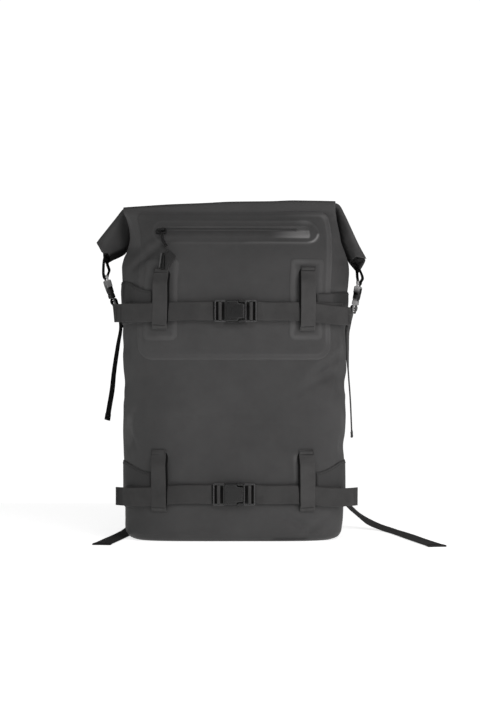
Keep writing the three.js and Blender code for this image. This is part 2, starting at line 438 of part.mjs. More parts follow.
// ---------- side closures ----------
// per side: buckle from its top to its foot (x, z), the strap's seam on the wing, how the roll's loop bows beside the bar, and the hanging tail
const CLOSURES = [
  { side: 'left', sign: -1, top: [-178.5, 362.8], foot: [-165, 319.6], seam: [[-157.2, 305], [-155, 290]], bow: [2.4, -2.4, -5.6],
    tail: [[-160.1, 305], [-158.2, 290], [-162, 266], [-167.4, 228], [-170, 203], [-174.2, 178], [-176.8, 161]] },
  { side: 'right', sign: 1, top: [173.2, 354.4], foot: [165, 309.9], seam: [[157.5, 298], [155.1, 284]], bow: [4.4, -0.95, -1.6],
    tail: [[160.5, 298], [157.3, 284], [157, 260], [159, 228], [161.8, 189], [164, 137]] },
];
const SIDE = { bar: 3, socketSlot: 7, socketEnd: 26, plugStart: 26.4, plugEnd: 33.5, slots: [[33.5, 36.5], [39.5, 43]], end: 45.5, half: 13, slotHalf: 10.6, plate: 2.4, low: -2.8, high: 5.2 };
for (const c of CLOSURES) {
  const top = V2(...c.top), t = V2(...c.foot).sub(top).normalize(), n = V2(-t.y, t.x).multiplyScalar(c.sign);
  const at = (a, w) => top.clone().addScaledVector(t, a).addScaledVector(n, w);
  const frame = new THREE.Matrix4().makeBasis(V3(t.x, 0, t.y), V3(n.x, 0, n.y).cross(V3(t.x, 0, t.y)), V3(n.x, 0, n.y)).setPosition(top.x, 0, top.y);
  const stand = (shape, from, to) => flatExtrude(shape, to - from).translate(0, 0, from).applyMatrix4(frame);
  const S = SIDE;
  const socket = new THREE.Shape([[7, -S.half], [17, -S.half], [18.4, -8.9], [S.socketEnd, -8.9], [S.socketEnd, 8.9], [18.4, 8.9], [17, S.half], [7, S.half]].map((p) => V2(...p)));
  const plug = new THREE.Shape([[S.plugStart, -9.4], [19.2, -9.4], [18.4, -11.4], [21, -12.6], [S.plugEnd, -S.half], [S.plugEnd, S.half], [21, 12.6], [18.4, 11.4], [19.2, 9.4], [S.plugStart, 9.4]].map((p) => V2(...p)));
  add(`side_socket_${c.side}`, joined([stand(socket, S.low, S.high), stand(withSlots(boxShape(0, 8, -S.half, S.half, 1.2), [[S.bar, S.socketSlot, -S.slotHalf, S.slotHalf]]), 0, S.plate)]), 'plastic');
  add(`side_plug_${c.side}`, joined([stand(plug, S.low + 1, S.high - 1), stand(withSlots(boxShape(32.5, S.end, -S.half, S.half, 1.2), S.slots.map(([p, q], i) => [p, q, -S.slotHalf + i * 0.1, S.slotHalf - i * 0.1])), 0, S.plate)]), 'plastic');
  const upright = (path) => flatExtrude(ribbon(path, WEB_T), SIDE_WEB_W).rotateX(Math.PI / 2).translate(0, SIDE_WEB_W / 2, 0);
  const tail = new THREE.SplineCurve([at(47, -1.05), ...c.tail.map((p) => V2(...p))]).getPoints(18);
  add(`side_strap_${c.side}`, upright([...c.seam.map((p) => V2(...p)).reverse(), ...[[47, -2.65], [36.2, -2.65], [35, -1.6], [35, 2.4], [35.9, 3.35], [40.3, 3.35], [41.2, 2.4], [41.2, -0.1], [42.3, -1.05]].map((p) => at(...p)), ...tail]), 'webbing');
  const end = rollFrame(c.sign < 0 ? 0 : 1), out = end.t.clone().multiplyScalar(c.sign), lean = V2(end.l.x, end.l.z);
  const seat = V2(end.p.x, end.p.z).addScaledVector(V2(out.x, out.z), 1.6), spread = 4.2;
  add(`roll_loop_${c.side}`, upright([seat.clone().addScaledVector(lean, -spread), at(-5, c.bow[0]), ...[[0, 3.35], [3.1, 3.2], [4.3, 2.2], [4.3, 0.2], [3.1, -0.8], [0, c.bow[1]]].map((p) => at(...p)), at(-5, c.bow[2]), seat.clone().addScaledVector(lean, spread)]), 'webbing');
}

// ---------- shoulder harness ----------
// pad rows: place of its middle, width, thickness (right side; the left side mirrors it)
const PAD = [
  { x: 56, y: 73.6, z: 374, wide: 50, thick: 8 },
  { x: 57, y: 88, z: 377, wide: 58, thick: 10 },
  { x: 61, y: 108, z: 369, wide: 62, thick: 11 },
  { x: 69, y: 125, z: 342, wide: 62, thick: 11 },
  { x: 80, y: 132, z: 300, wide: 60, thick: 11 },
  { x: 91, y: 130, z: 252, wide: 56, thick: 11 },
  { x: 99, y: 122, z: 208, wide: 50, thick: 10 },
  { x: 104.8, y: 112.3, z: 165, wide: 34, thick: 7 },
];
const LOCK = { x: 106.5, y: 109, z: 153, bar: 1.5, slot: 6.5, end: 9.5, half: 16.2, slotHalf: 13.1, thick: 2 };
const SEAM_S = 106, SEAM_Z = 30;
// tails on the floor: places of the webbing's middle
const FLOOR_TAILS = {
  left: [[-113, 114, 128], [-119, 119, 98], [-128, 121, 54], [-138, 114, 22], [-145, 96, 6], [-152, 62, 1.1], [-160.5, 0, 0.8], [-168, -62, 0.8], [-175.5, -128, 0.8]],
  right: [[113, 114, 128], [124, 119, 100], [146, 121, 58], [171, 119, 28], [198, 108, 9.5], [222, 78, 1.8], [237, 22, 0.8], [252, -62, 0.8], [268.5, -152, 0.8]],
};
for (const [side, sign] of [['left', -1], ['right', 1]]) {
  const lock = V3(sign * LOCK.x, LOCK.y, LOCK.z), back = sectionAt(SEAM_Z).length;
  const seam = onBag(sign * (back - SEAM_S), SEAM_Z, 3);
  const down = seam.clone().sub(lock).normalize(), away = V3(0, 1, 0).addScaledVector(down, -down.y).normalize(), wide = away.clone().cross(down);
  const at = (a, w) => lock.clone().addScaledVector(down, a).addScaledVector(away, w);
  const rows = PAD.slice(0, -1).map((r) => V3(sign * r.x, r.y, r.z)), foot = at(-LOCK.end - 0.8, 0);
  const line = new THREE.CatmullRomCurve3([...rows, foot], false, 'centripetal'), size = (column) => {
    const c = new THREE.CatmullRomCurve3(PAD.map((r, i) => V3(i, r[column], 0)));
    return (u) => c.getPoint(u).y;
  }, padWide = size('wide'), padThick = size('thick'), steps = 16;
  add(`shoulder_pad_${side}`, loft(Array.from({ length: steps + 1 }, (_, i) => {
    const u = i / steps, p = line.getPoint(u), t = i === 0 ? V3(0, 1, 0) : i === steps ? down : line.getTangent(u);
    const w = V3(1, 0, 0).addScaledVector(t, -t.x).normalize(), n = t.clone().cross(w), a = padWide(u) / 2, b = padThick(u) / 2;
    return [[1, 0.35], [0.88, 1], [-0.88, 1], [-1, 0.35], [-1, -0.35], [-0.88, -1], [0.88, -1], [1, -0.35]].map(([x, y]) => p.clone().addScaledVector(w, a * x).addScaledVector(n, b * y));
  })), 'fabric');
  const frame = new THREE.Matrix4().makeBasis(down, away.clone().cross(down), away).setPosition(lock);
  add(`ladder_lock_${side}`, flatExtrude(withSlots(boxShape(-LOCK.end, LOCK.bar, -LOCK.half, LOCK.half, 1.5), [[-LOCK.slot, -LOCK.bar, -LOCK.slotHalf, LOCK.slotHalf]]), LOCK.thick)
    .translate(0, 0, -LOCK.thick / 2).applyMatrix4(frame), 'plastic');
  const around = [[18, -2.2], [-0.8, -2.1], [-2.6, -1.6], [-3.4, 0], [-2.6, 1.6], [-0.8, 2.1], [12, 3.2]].map((p) => at(...p));
  const tail = new THREE.CatmullRomCurve3([around[around.length - 1], ...FLOOR_TAILS[side].map((p) => V3(...p))], false, 'centripetal').getPoints(34)
    .map((p) => V3(p.x, p.y, Math.max(WEB_T / 2 + 0.1, p.z)));
  const path = [seam, seam.clone().lerp(around[0], 0.5), ...around.slice(0, -1), ...tail];
  const widthAt = (i) => wide.clone().negate().lerp(V3(1, 0, 0), smooth(around.length + 2, around.length + 14, i)).normalize();
  add(`harness_web_${side}`, strip(path, widthAt, WEB_W, WEB_T), 'webbing');
}

export default bag;
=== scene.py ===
# Roll-top waterproof backpack standing on its base: cloth, webbing, hardware and a plain studio.
# Shapes are worked out in millimetres and written in metres. +Z is up and the front faces -Y.
import math

import bmesh
import bpy
import numpy as np
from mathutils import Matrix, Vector
from mathutils.geometry import tessellate_polygon


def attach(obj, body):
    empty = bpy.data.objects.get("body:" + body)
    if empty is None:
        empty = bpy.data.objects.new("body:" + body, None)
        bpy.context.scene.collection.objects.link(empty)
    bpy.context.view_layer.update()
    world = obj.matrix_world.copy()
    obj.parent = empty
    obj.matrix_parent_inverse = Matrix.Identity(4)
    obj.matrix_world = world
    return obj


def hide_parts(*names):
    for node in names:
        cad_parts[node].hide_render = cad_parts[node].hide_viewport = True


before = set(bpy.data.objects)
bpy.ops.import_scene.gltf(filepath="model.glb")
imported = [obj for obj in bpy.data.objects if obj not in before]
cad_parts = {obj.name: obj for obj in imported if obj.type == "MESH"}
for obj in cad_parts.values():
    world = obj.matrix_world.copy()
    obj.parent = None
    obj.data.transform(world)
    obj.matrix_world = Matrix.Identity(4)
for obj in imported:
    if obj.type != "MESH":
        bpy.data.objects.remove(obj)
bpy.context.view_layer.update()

scene = bpy.context.scene

# ------------------------------------------------------------------ camera
camera = bpy.data.objects.new("camera", bpy.data.cameras.new("camera"))
scene.collection.objects.link(camera)
camera.location = (0.0081, -2.580, 0.2448)
camera.rotation_euler = (math.radians(90), 0, 0)
camera.data.lens = 92.6
camera.data.sensor_width = 36
camera.data.clip_start, camera.data.clip_end = 0.05, 50
scene.camera = camera

# ------------------------------------------------------------------ driving sizes
WEB_T, WEB_W, SIDE_WEB_W, SQUARENESS = 1.3, 25.0, 20.0, 4.5
SKIN_WALL = 1.6

# bag sections: height, half width, middle, front face, back face
BAG = np.array([
    (0, 135, 0, -78, 70), (1.5, 140, 0, -80.5, 72.5), (4, 144.5, 0, -82, 74.5), (12, 149.3, 0, -83, 76.5),
    (28, 150.6, .5, -82.5, 78), (60, 151.7, 0, -81.5, 79), (120, 152.6, -.8, -81, 79.4), (152, 153.9, 0, -81, 79.5),
    (180, 153.6, .6, -80.8, 79.5), (209, 152.2, .8, -80.6, 79.5), (234, 153.9, .3, -80.4, 79.4), (262, 154.4, 0, -80.2, 79.2), (284, 153.6, -.4, -80, 79),
    (304, 154.6, -.2, -79.8, 78.6), (326, 156.8, 0, -78.8, 78), (345, 157.5, 0, -77.5, 77), (372, 156, 1.5, -72, 72), (395, 151, 2.5, -64, 61),
    (412, 147, 2.5, -55.5, 46), (426, 146.5, 1, -46.5, 28), (436, 147, -1, -39, 10), (443, 148, -2.5, -33.5, -4),
    (448, 149, -4, -29.5, -13.5), (459, 149.5, -5, -26.5, -17)], float)

# how far the left and the right edge are drawn in by straps and folds, out where negative
EDGES = np.array([
    (0, 0, 0), (14, 0, 1.2), (30, 1, 1), (45, 1.4, 1), (58, 0, 0), (106, 0, 0), (130, 0, 1.3),
    (147, 0, 0.3), (165, 0, 0), (187, -0.6, 1), (197, -0.8, 0.2), (215, 0.8, 1.6), (232, 1.1, -0.6), (250, 1.3, 0),
    (264, 2.6, 0), (281, 1.4, 0), (298, 2.2, 0), (328, 3.6, 1.2), (336, 3.6, 1.6), (348, 4.1, 0.2), (356, 2.9, -0.8),
    (367, 0.4, -1.9), (375, -1.2, -2.1), (385, -1.6, -1.4), (396, 0, -0.6), (415, 0, 0), (459, 0, 0)], float)

# soft dents: place round the bag, height, reach each way, depth
DENTS = [(-128, 388, 20, 17, 2.6), (136, 222, 22, 16, 3.0), (-150, 150, 16, 19, 2.8), (120, 20, 26, 16, 2.0), (40, 170, 60, 26, 1.6)]

# creases: place round the bag, height, slant in degrees, half length, half width, depth
CREASES = [
    (-121, 387, 36, 24, 5.0, 2.4),     # valley under the left end of the zip
    (-138, 372, 52, 14, 4.0, 0.9),
    (-104, 402, 25, 14, 4.0, 0.8),
    (124, 237, 33, 24, 5.0, 3.4),      # folds at the right edge
    (116, 218, 24, 26, 5.5, 2.6),
    (142, 246, 58, 16, 4.5, 1.8),
    (144, 204, 64, 15, 5.0, 1.8),
    (-142, 168, 62, 14, 4.0, 1.7),     # edges of the facet at the left
    (-141, 137, -58, 14, 4.0, 1.7),
    (-20, 171, 1, 95, 4.0, 0.35),      # faint slack lines across the front
    (55, 157, -2, 70, 5.0, 0.4),
    (88, 24, -27, 30, 6.0, 3.6), (114, 22, 38, 20, 5.0, 2.2),       # folds over the lower right corner
    (-60, 9, 3, 40, 5.0, -0.8),        # swell along the lower left edge
    (-150, 60, 80, 22, 6.0, 0.7), (152, 118, 84, 30, 6.0, 0.8),
    (-152, 262, 82, 26, 6.0, 0.7), (190, 330, 70, 36, 7.0, 1.6), (-190, 336, -70, 36, 7.0, 1.6),
    (205, 210, 12, 34, 7.0, 1.4), (-205, 200, -10, 34, 7.0, 1.4), (215, 120, -14, 30, 8.0, 1.3), (-212, 96, 16, 30, 8.0, 1.3),
]


def smooth(a, b, v):
    t = np.clip((np.asarray(v, float) - a) / (b - a), 0, 1)
    return t * t * (3 - 2 * t)


def lerp(a, b, t):
    return a + (b - a) * t


def monotone(zs, vs):
    d = np.diff(vs) / np.diff(zs)
    m = np.concatenate([[d[0]], [0 if p * q <= 0 else 2 * p * q / (p + q) for p, q in zip(d[:-1], d[1:])], [d[-1]]])

    def f(v):
        v = np.clip(v, zs[0], zs[-1])
        i = np.clip(np.searchsorted(zs, v, side="right") - 1, 0, len(zs) - 2)
        h = zs[i + 1] - zs[i]
        t = (v - zs[i]) / h
        return vs[i] * (1 + 2 * t) * (1 - t) ** 2 + h * m[i] * t * (1 - t) ** 2 + vs[i + 1] * t * t * (3 - 2 * t) + h * m[i + 1] * t * t * (t - 1)
    return f


bag_half, bag_mid, bag_front, bag_back = (monotone(BAG[:, 0], BAG[:, k]) for k in (1, 2, 3, 4))
edge_left, edge_right = (monotone(EDGES[:, 0], EDGES[:, k]) for k in (1, 2))
TOP_Z, STEP_Z, NF = 459.0, 0.5, 1001
ZROWS = np.arange(0, TOP_Z + 0.25, STEP_Z)
_q = -math.pi / 2 + math.pi * np.linspace(0, 1, 1441)
_cx = np.abs(np.cos(_q)) ** (2 / SQUARENESS)
_sy = np.sign(np.sin(_q)) * np.abs(np.sin(_q)) ** (2 / SQUARENESS)
TX, TY, TL = np.zeros((len(ZROWS), NF)), np.zeros((len(ZROWS), NF)), np.zeros(len(ZROWS))
for _k, _z in enumerate(ZROWS):
    _x = bag_half(_z) * _cx
    _y = (bag_back(_z) + bag_front(_z)) / 2 + (bag_back(_z) - bag_front(_z)) / 2 * _sy
    _run = np.concatenate([[0], np.cumsum(np.hypot(np.diff(_x), np.diff(_y)))])
    TL[_k] = _run[-1]
    TX[_k] = np.interp(np.linspace(0, _run[-1], NF), _run, _x)
    TY[_k] = np.interp(np.linspace(0, _run[-1], NF), _run, _y)


def girth(z):
    return np.interp(np.clip(z, 0, TOP_Z), ZROWS, TL)


def base(s, z):
    """Point of the undented bag at distance s round it from the front middle and height z."""
    s, z = np.broadcast_arrays(np.asarray(s, float), np.asarray(z, float))
    zz = np.clip(z, 0, TOP_Z)
    a = zz / STEP_Z
    i = np.clip(a.astype(int), 0, len(ZROWS) - 2)
    g = a - i
    f = np.clip(np.abs(s) / (TL[i] * (1 - g) + TL[i + 1] * g), 0, 1) * (NF - 1)
    j = np.clip(f.astype(int), 0, NF - 2)
    h = f - j

    def mix(T):
        return (T[i, j] * (1 - h) + T[i, j + 1] * h) * (1 - g) + (T[i + 1, j] * (1 - h) + T[i + 1, j + 1] * h) * g
    x = mix(TX)
    side = smooth(126, 150, x)
    left = x - edge_left(zz) * side
    right = x - (edge_right(zz) + 4.8 * smooth(385, 458, zz)) * side      # leans in towards the roll
    return np.stack([bag_mid(zz) + np.where(s < 0, -left, right), mix(TY), z], -1)


def relief(s, z):
    """Dents, creases and slow slack of the cloth, along the wall's normal."""
    s, z = np.broadcast_arrays(np.asarray(s, float), np.asarray(z, float))
    r = np.zeros(s.shape)
    for ds, dz, wide, tall, deep in DENTS:
        r -= deep * np.exp(-((s - ds) / wide) ** 2 - ((z - dz) / tall) ** 2)
    for cs, cz, slant, long_, wide, deep in CREASES:
        c, n = math.cos(math.radians(slant)), math.sin(math.radians(slant))
        u, v = (s - cs) * c + (z - cz) * n, -(s - cs) * n + (z - cz) * c
        v = v + 0.012 * u * u / max(long_, 1) * 4
        r -= deep * np.exp(-(u / long_) ** 2) * (np.exp(-(v / wide) ** 2) - 0.35 * np.exp(-((v - 1.9 * wide) / (1.2 * wide)) ** 2))
    slack = 0.55 * np.sin(s / 41 + z / 57 + 0.4) + 0.5 * np.sin(s / 27 - z / 44 + 1.9) + 0.32 * np.sin(z / 21 + s / 74 + 2.6) + 0.2 * np.sin(s / 13.5 + z / 17 + 0.7)
    return r + slack * smooth(2, 40, z) * (1 - 0.75 * smooth(395, 440, z))


def normal(s, z):
    a = base(s + 3, z) - base(s - 3, z)
    b = base(s, z + 2) - base(s, z - 2)
    n = np.cross(a, b)
    return n / np.maximum(1e-9, np.linalg.norm(n, axis=-1, keepdims=True))


def on_bag(s, z, off=0.0):
    s, z = np.broadcast_arrays(np.asarray(s, float), np.asarray(z, float))
    return base(s, z) + normal(s, z) * (np.asarray(off, float) + relief(s, z))[..., None]


# ------------------------------------------------------------------ meshes from rings, grids and outlines
class Mesh:
    def __init__(self):
        self.v, self.uv, self.faces, self.mats, self.n = [], [], [], [], 0
        self.marks = {"painted_highlight": [], "painted_shade": [], "edge": []}

    def points(self, P, UV=None):
        P = np.asarray(P, float).reshape(-1, 3)
        self.v.append(P)
        self.uv.append(np.zeros((len(P), 2)) if UV is None else np.asarray(UV, float).reshape(-1, 2))
        self.n += len(P)
        return self.n - len(P)

    def mark(self, name, index, value):
        """Amount of painted highlight, painted shade or painted rim highlight at points."""
        self.marks[name].append((np.asarray(index).ravel(), np.broadcast_to(np.asarray(value, float), np.shape(index)).ravel()))

    def add(self, faces, mat=0):
        faces = np.asarray(faces, int)
        if len(faces):
            self.faces.append(faces)
            self.mats.append(np.full(len(faces), mat))

    def index(self, P, UV=None):
        k = self.points(P, UV)
        return np.arange(P.shape[0] * P.shape[1]).reshape(P.shape[:2]) + k

    def skin(self, i, mat=0, wrap=False):
        if wrap:
            i = np.concatenate([i, i[:, :1]], 1)
        self.add(np.stack([i[:-1, :-1], i[:-1, 1:], i[1:, 1:], i[1:, :-1]], -1).reshape(-1, 4), mat)

    def bridge(self, a, b, mat=0, wrap=False):
        self.skin(np.stack([np.asarray(a), np.asarray(b)]), mat, wrap)

    def sheet(self, outer, inner, UV=None, mat=0):
        """A cloth of two faces and closed edges from two grids."""
        a, b = self.index(outer, UV), self.index(inner, UV)
        self.skin(a, mat)
        self.skin(b[:, ::-1], mat)
        for p, q in ((a[0], b[0]), (a[-1], b[-1]), (a[:, 0], b[:, 0]), (a[:, -1], b[:, -1])):
            self.bridge(p, q, mat)
        return a, b

    def build(self, name, mats, replaces=(), weighted=False):
        V, U = np.concatenate(self.v) * 0.001, np.concatenate(self.uv) * 0.001
        loops = np.concatenate([f.ravel() for f in self.faces])
        sizes = np.concatenate([np.full(len(f), f.shape[1]) for f in self.faces])
        me = bpy.data.meshes.new(name)
        me.vertices.add(len(V))
        me.vertices.foreach_set("co", V.astype(np.float32).ravel())
        me.loops.add(len(loops))
        me.loops.foreach_set("vertex_index", loops.astype(np.int32))
        me.polygons.add(len(sizes))
        me.polygons.foreach_set("loop_start", np.concatenate([[0], np.cumsum(sizes)[:-1]]).astype(np.int32))
        me.polygons.foreach_set("material_index", np.concatenate(self.mats).astype(np.int32))
        me.polygons.foreach_set("use_smooth", np.ones(len(sizes), bool))
        layer = me.uv_layers.new(name="UVMap")
        layer.data.foreach_set("uv", U[loops].astype(np.float32).ravel())
        me.update(calc_edges=True)
        for mark, parts in self.marks.items():
            value = np.zeros(len(V), np.float32)
            for at, amount in parts:
                value[at] = np.clip(amount, 0, 1)
            if parts:
                me.attributes.new(mark, "FLOAT", "POINT").data.foreach_set("value", value)
        me.validate()
        bm = bmesh.new()
        bm.from_mesh(me)
        bmesh.ops.recalc_face_normals(bm, faces=bm.faces)
        bm.to_mesh(me)
        bm.free()
        for m in mats:
            me.materials.append(m)
        ob = bpy.data.objects.new(name, me)
        scene.collection.objects.link(ob)
        if weighted:
            mod = ob.modifiers.new("even_normals", "WEIGHTED_NORMAL")
            mod.keep_sharp = True
        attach(ob, "root")
        if replaces:
            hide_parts(*replaces)
        return ob


def catmull(P, spacing=2.0, least=2):
    """Centripetal curve through points; also the place of each sample counted in points."""
    P = np.asarray(P, float)
    A = np.vstack([2 * P[0] - P[1], P, 2 * P[-1] - P[-2]])
    out, idx = [], []
    for i in range(len(P) - 1):
        p0, p1, p2, p3 = A[i:i + 4]
        k = [0.0]
        for a, b in ((p0, p1), (p1, p2), (p2, p3)):
            k.append(k[-1] + max(1e-3, np.linalg.norm(b - a) ** 0.5))
        m = max(least, int(math.ceil(np.linalg.norm(p2 - p1) / spacing)))
        t = np.linspace(k[1], k[2], m, endpoint=False)[:, None]
        a1 = (k[1] - t) / (k[1] - k[0]) * p0 + (t - k[0]) / (k[1] - k[0]) * p1
        a2 = (k[2] - t) / (k[2] - k[1]) * p1 + (t - k[1]) / (k[2] - k[1]) * p2
        a3 = (k[3] - t) / (k[3] - k[2]) * p2 + (t - k[2]) / (k[3] - k[2]) * p3
        b1 = (k[2] - t) / (k[2] - k[0]) * a1 + (t - k[0]) / (k[2] - k[0]) * a2
        b2 = (k[3] - t) / (k[3] - k[1]) * a2 + (t - k[1]) / (k[3] - k[1]) * a3
        out.append((k[2] - t) / (k[2] - k[1]) * b1 + (t - k[1]) / (k[2] - k[1]) * b2)
        idx.append(i + (t[:, 0] - k[1]) / (k[2] - k[1]))
    return np.vstack(out + [P[-1:]]), np.concatenate(idx + [[len(P) - 1]])


def unit(v):
    return v / np.maximum(1e-9, np.linalg.norm(v, axis=-1, keepdims=True))


def frames(path, wide):
    t = unit(np.gradient(path, axis=0))
    w = np.broadcast_to(np.asarray(wide, float), path.shape)
    w = unit(w - np.sum(w * t, -1, keepdims=True) * t)
    return t, w, np.cross(t, w)


# webbing section: across and out, woven edges a little thinner than the body
WEB_TOP = np.array([(-1, 0), (-.995, .45), (-.975, .8), (-.93, 1), (-.8, .93), (-.4, .9), (0, .88), (.4, .9), (.8, .93), (.93, 1), (.975, .8), (.995, .45), (1, 0)])
WEB_RING = np.vstack([WEB_TOP, (WEB_TOP * [1, -1])[-2:0:-1]])


def webbing(mesh, path, wide, width=WEB_W, thick=WEB_T, mat=0, v0=0.0, hem=(0.0, 0.0), slant=0.0):
    """A flat woven strap along a path; hem gives the length of the doubled end at the start and the finish, slant skews the finish."""
    path = np.asarray(path, float)
    t, w, n = frames(path, wide)
    run = np.concatenate([[0], np.cumsum(np.linalg.norm(np.diff(path, axis=0), axis=1))])
    T = np.full(len(path), thick)
    T = T * (1 + 0.85 * (1 - smooth(hem[0] - 0.6, hem[0] + 0.6, run)) * (hem[0] > 0) + 0.85 * smooth(run[-1] - hem[1] - 0.6, run[-1] - hem[1] + 0.6, run) * (hem[1] > 0))
    wid = np.full(len(path), width) + 0.25 * np.sin(run / 17 + v0)
    ring = WEB_RING
    P = path[:, None] + w[:, None] * (ring[None, :, 0:1] * wid[:, None, None] / 2) + n[:, None] * (ring[None, :, 1:2] * T[:, None, None] / 2)
    P = P + t[:, None] * (slant * ring[None, :, 0:1] * width / 2 * smooth(run[-1] - 16, run[-1], run)[:, None, None])
    UV = np.stack([np.broadcast_to(ring[None, :, 0] * width / 2, P.shape[:2]), np.broadcast_to((run + v0)[:, None], P.shape[:2])], -1)
    i = mesh.index(P, UV)
    mesh.skin(i, mat, wrap=True)
    m = len(WEB_TOP)
    for r in (i[0], i[-1]):
        top, low = r[:m], np.concatenate([[r[0]], r[m:][::-1], [r[m - 1]]])
        mesh.add([(top[0], top[1], low[1])] + [(top[m - 2], top[m - 1], low[m - 2])], mat)
        mesh.add([(top[k], top[k + 1], low[k + 1], low[k]) for k in range(1, m - 2)], mat)
    return path, t, w, n, run, T


def stitches(mesh, pts, nrm, mat, pitch=2.7, size=2.0, r=0.27, phase=0.5):
    """A row of thread stitches along a line on a surface."""
    pts = np.asarray(pts, float)
    nrm = unit(np.broadcast_to(np.asarray(nrm, float), pts.shape))
    run = np.concatenate([[0], np.cumsum(np.linalg.norm(np.diff(pts, axis=0), axis=1))])
    at = np.arange(phase * pitch, run[-1] - 0.2 * pitch, pitch)
    if len(at) == 0:
        return
    st = np.array([-0.5, -0.34, 0.34, 0.5]) * size
    rad = np.array([0.25, 1, 1, 0.25]) * r
    lift = np.array([-0.5, 0.35, 0.35, -0.5]) * r
    ang = np.arange(6) * math.pi / 3

    def look(v):
        return np.stack([np.interp(v, run, pts[:, k]) for k in range(3)], -1), unit(np.stack([np.interp(v, run, nrm[:, k]) for k in range(3)], -1))
    c, n = look(at)
    d, _ = look(at + 0.4)
    e, _ = look(at - 0.4)
    t = unit(d - e)
    w = np.cross(t, n)
    P = (c[:, None, None] + t[:, None, None] * st[None, :, None, None]
         + n[:, None, None] * (lift[None, :, None, None] + rad[None, :, None, None] * np.sin(ang)[None, None, :, None])
         + w[:, None, None] * (rad[None, :, None, None] * np.cos(ang)[None, None, :, None]))
    m = len(at)
    k = mesh.points(P)
    i = (np.arange(m * 24).reshape(m, 4, 6) + k)
    j = np.roll(i, -1, axis=2)
    mesh.add(np.stack([i[:, :-1], j[:, :-1], j[:, 1:], i[:, 1:]], -1).reshape(-1, 4), mat)
    mesh.add(np.concatenate([i[:, 0, ::-1], i[:, 3, :]]), mat)


def fillet(poly, radius, seg=4):
    """Corners of a closed outline turned into arcs; radius is one number or one per corner."""
    poly = [np.asarray(p, float) for p in poly]
    n, out = len(poly), []
    rad = [radius] * n if np.isscalar(radius) else list(radius)
    for i in range(n):
        a, b, c = poly[i - 1], poly[i], poly[(i + 1) % n]
        u, v = unit(a - b), unit(c - b)
        half = math.acos(float(np.clip(u @ v, -1, 1))) / 2
        cut = min(rad[i] / max(1e-6, math.tan(half)), 0.45 * np.linalg.norm(a - b), 0.45 * np.linalg.norm(c - b))
        if rad[i] <= 0 or cut < 1e-3 or half > 1.55:
            out.append(b)
            continue
        r = cut * math.tan(half)
        centre = b + unit(u + v) * r / math.sin(half)
        p, q = b + u * cut - centre, b + v * cut - centre
        a0, a1 = math.atan2(p[1], p[0]), math.atan2(q[1], q[0])
        da = (a1 - a0 + math.pi) % (2 * math.pi) - math.pi
        out += [centre + r * np.array([math.cos(a0 + da * k / seg), math.sin(a0 + da * k / seg)]) for k in range(seg + 1)]
    return np.array(out)


def turned(loop, ccw=True):
    area = 0.5 * np.sum(loop[:, 0] * np.roll(loop[:, 1], -1) - np.roll(loop[:, 0], -1) * loop[:, 1])
    return loop if (area > 0) == ccw else loop[::-1]


def moulded(mesh, outline, holes, z0, z1, r, place, mat=0, steps=3, highlight_amount=0.25):
    """A moulded plate with rounded edges from an outline and its holes; place maps local x, y, z to the bag."""
    loops = [turned(np.asarray(outline, float), True)] + [turned(np.asarray(h, float), False) for h in holes]
    offs = []
    for L in loops:
        e1 = unit(L - np.roll(L, 1, 0))
        e2 = np.roll(e1, -1, 0)
        n1, n2 = np.stack([-e1[:, 1], e1[:, 0]], -1), np.stack([-e2[:, 1], e2[:, 0]], -1)
        offs.append((n1 + n2) / np.maximum(0.35, 1 + np.sum(n1 * n2, -1, keepdims=True)))
    ang = np.linspace(0, math.pi / 2, steps + 1)
    levels = [(r * (1 - math.sin(a)), z0 + r * (1 - math.cos(a))) for a in ang] + [(r * (1 - math.sin(a)), z1 - r * (1 - math.cos(a))) for a in ang[::-1]]
    ends = ([], [])
    for L, O in zip(loops, offs):
        rings = []
        for inset, z in levels:
            p = L + O * inset
            rings.append(np.column_stack([p, np.full(len(p), z)]))
        P = np.array(rings)
        i = mesh.index(place(P), P[..., :2])
        mesh.skin(i, mat, wrap=True)
        # painted rim highlight: the rounded edge rows get the edge mark, which the plastic material turns paler
        rim = np.zeros(i.shape)
        rim[-1 - steps:-1] = highlight_amount * np.sin(np.linspace(0, math.pi, steps + 2))[1:-1, None]
        mesh.mark("edge", i, rim)
        ends[0].append((P[0], i[0]))
        ends[1].append((P[-1], i[-1]))
    for end in ends:
        flat = [[Vector((p[0], p[1], 0)) for p in P] for P, _ in end]
        idx = np.concatenate([i for _, i in end])
        mesh.add([tuple(idx[k] for k in t) for t in tessellate_polygon(flat)], mat)


def tube(mesh, path, radius, mat=0, sides=10):
    path = np.asarray(path, float)
    t = unit(np.gradient(path, axis=0))
    n = np.zeros_like(path)
    first = np.cross(t[0], [0, 0, 1.0]) if abs(t[0][2]) < 0.9 else np.cross(t[0], [1.0, 0, 0])
    n[0] = unit(first)
    for k in range(1, len(path)):
        n[k] = unit(n[k - 1] - (n[k - 1] @ t[k]) * t[k])
    b = np.cross(t, n)
    q = np.arange(sides) * 2 * math.pi / sides
    rad = np.broadcast_to(np.asarray(radius, float), (len(path),))
    P = path[:, None] + (n[:, None] * np.cos(q)[None, :, None] + b[:, None] * np.sin(q)[None, :, None]) * rad[:, None, None]
    run = np.concatenate([[0], np.cumsum(np.linalg.norm(np.diff(path, axis=0), axis=1))])
    UV = np.stack([np.broadcast_to((q * rad[0])[None], P.shape[:2]), np.broadcast_to(run[:, None], P.shape[:2])], -1)
    i = mesh.index(P, UV)
    mesh.skin(i, mat, wrap=True)
    for ring, c in ((i[0], path[0]), (i[-1], path[-1])):
        k = mesh.points([c])
        mesh.add([(k, ring[m], ring[(m + 1) % sides]) for m in range(sides)], mat)


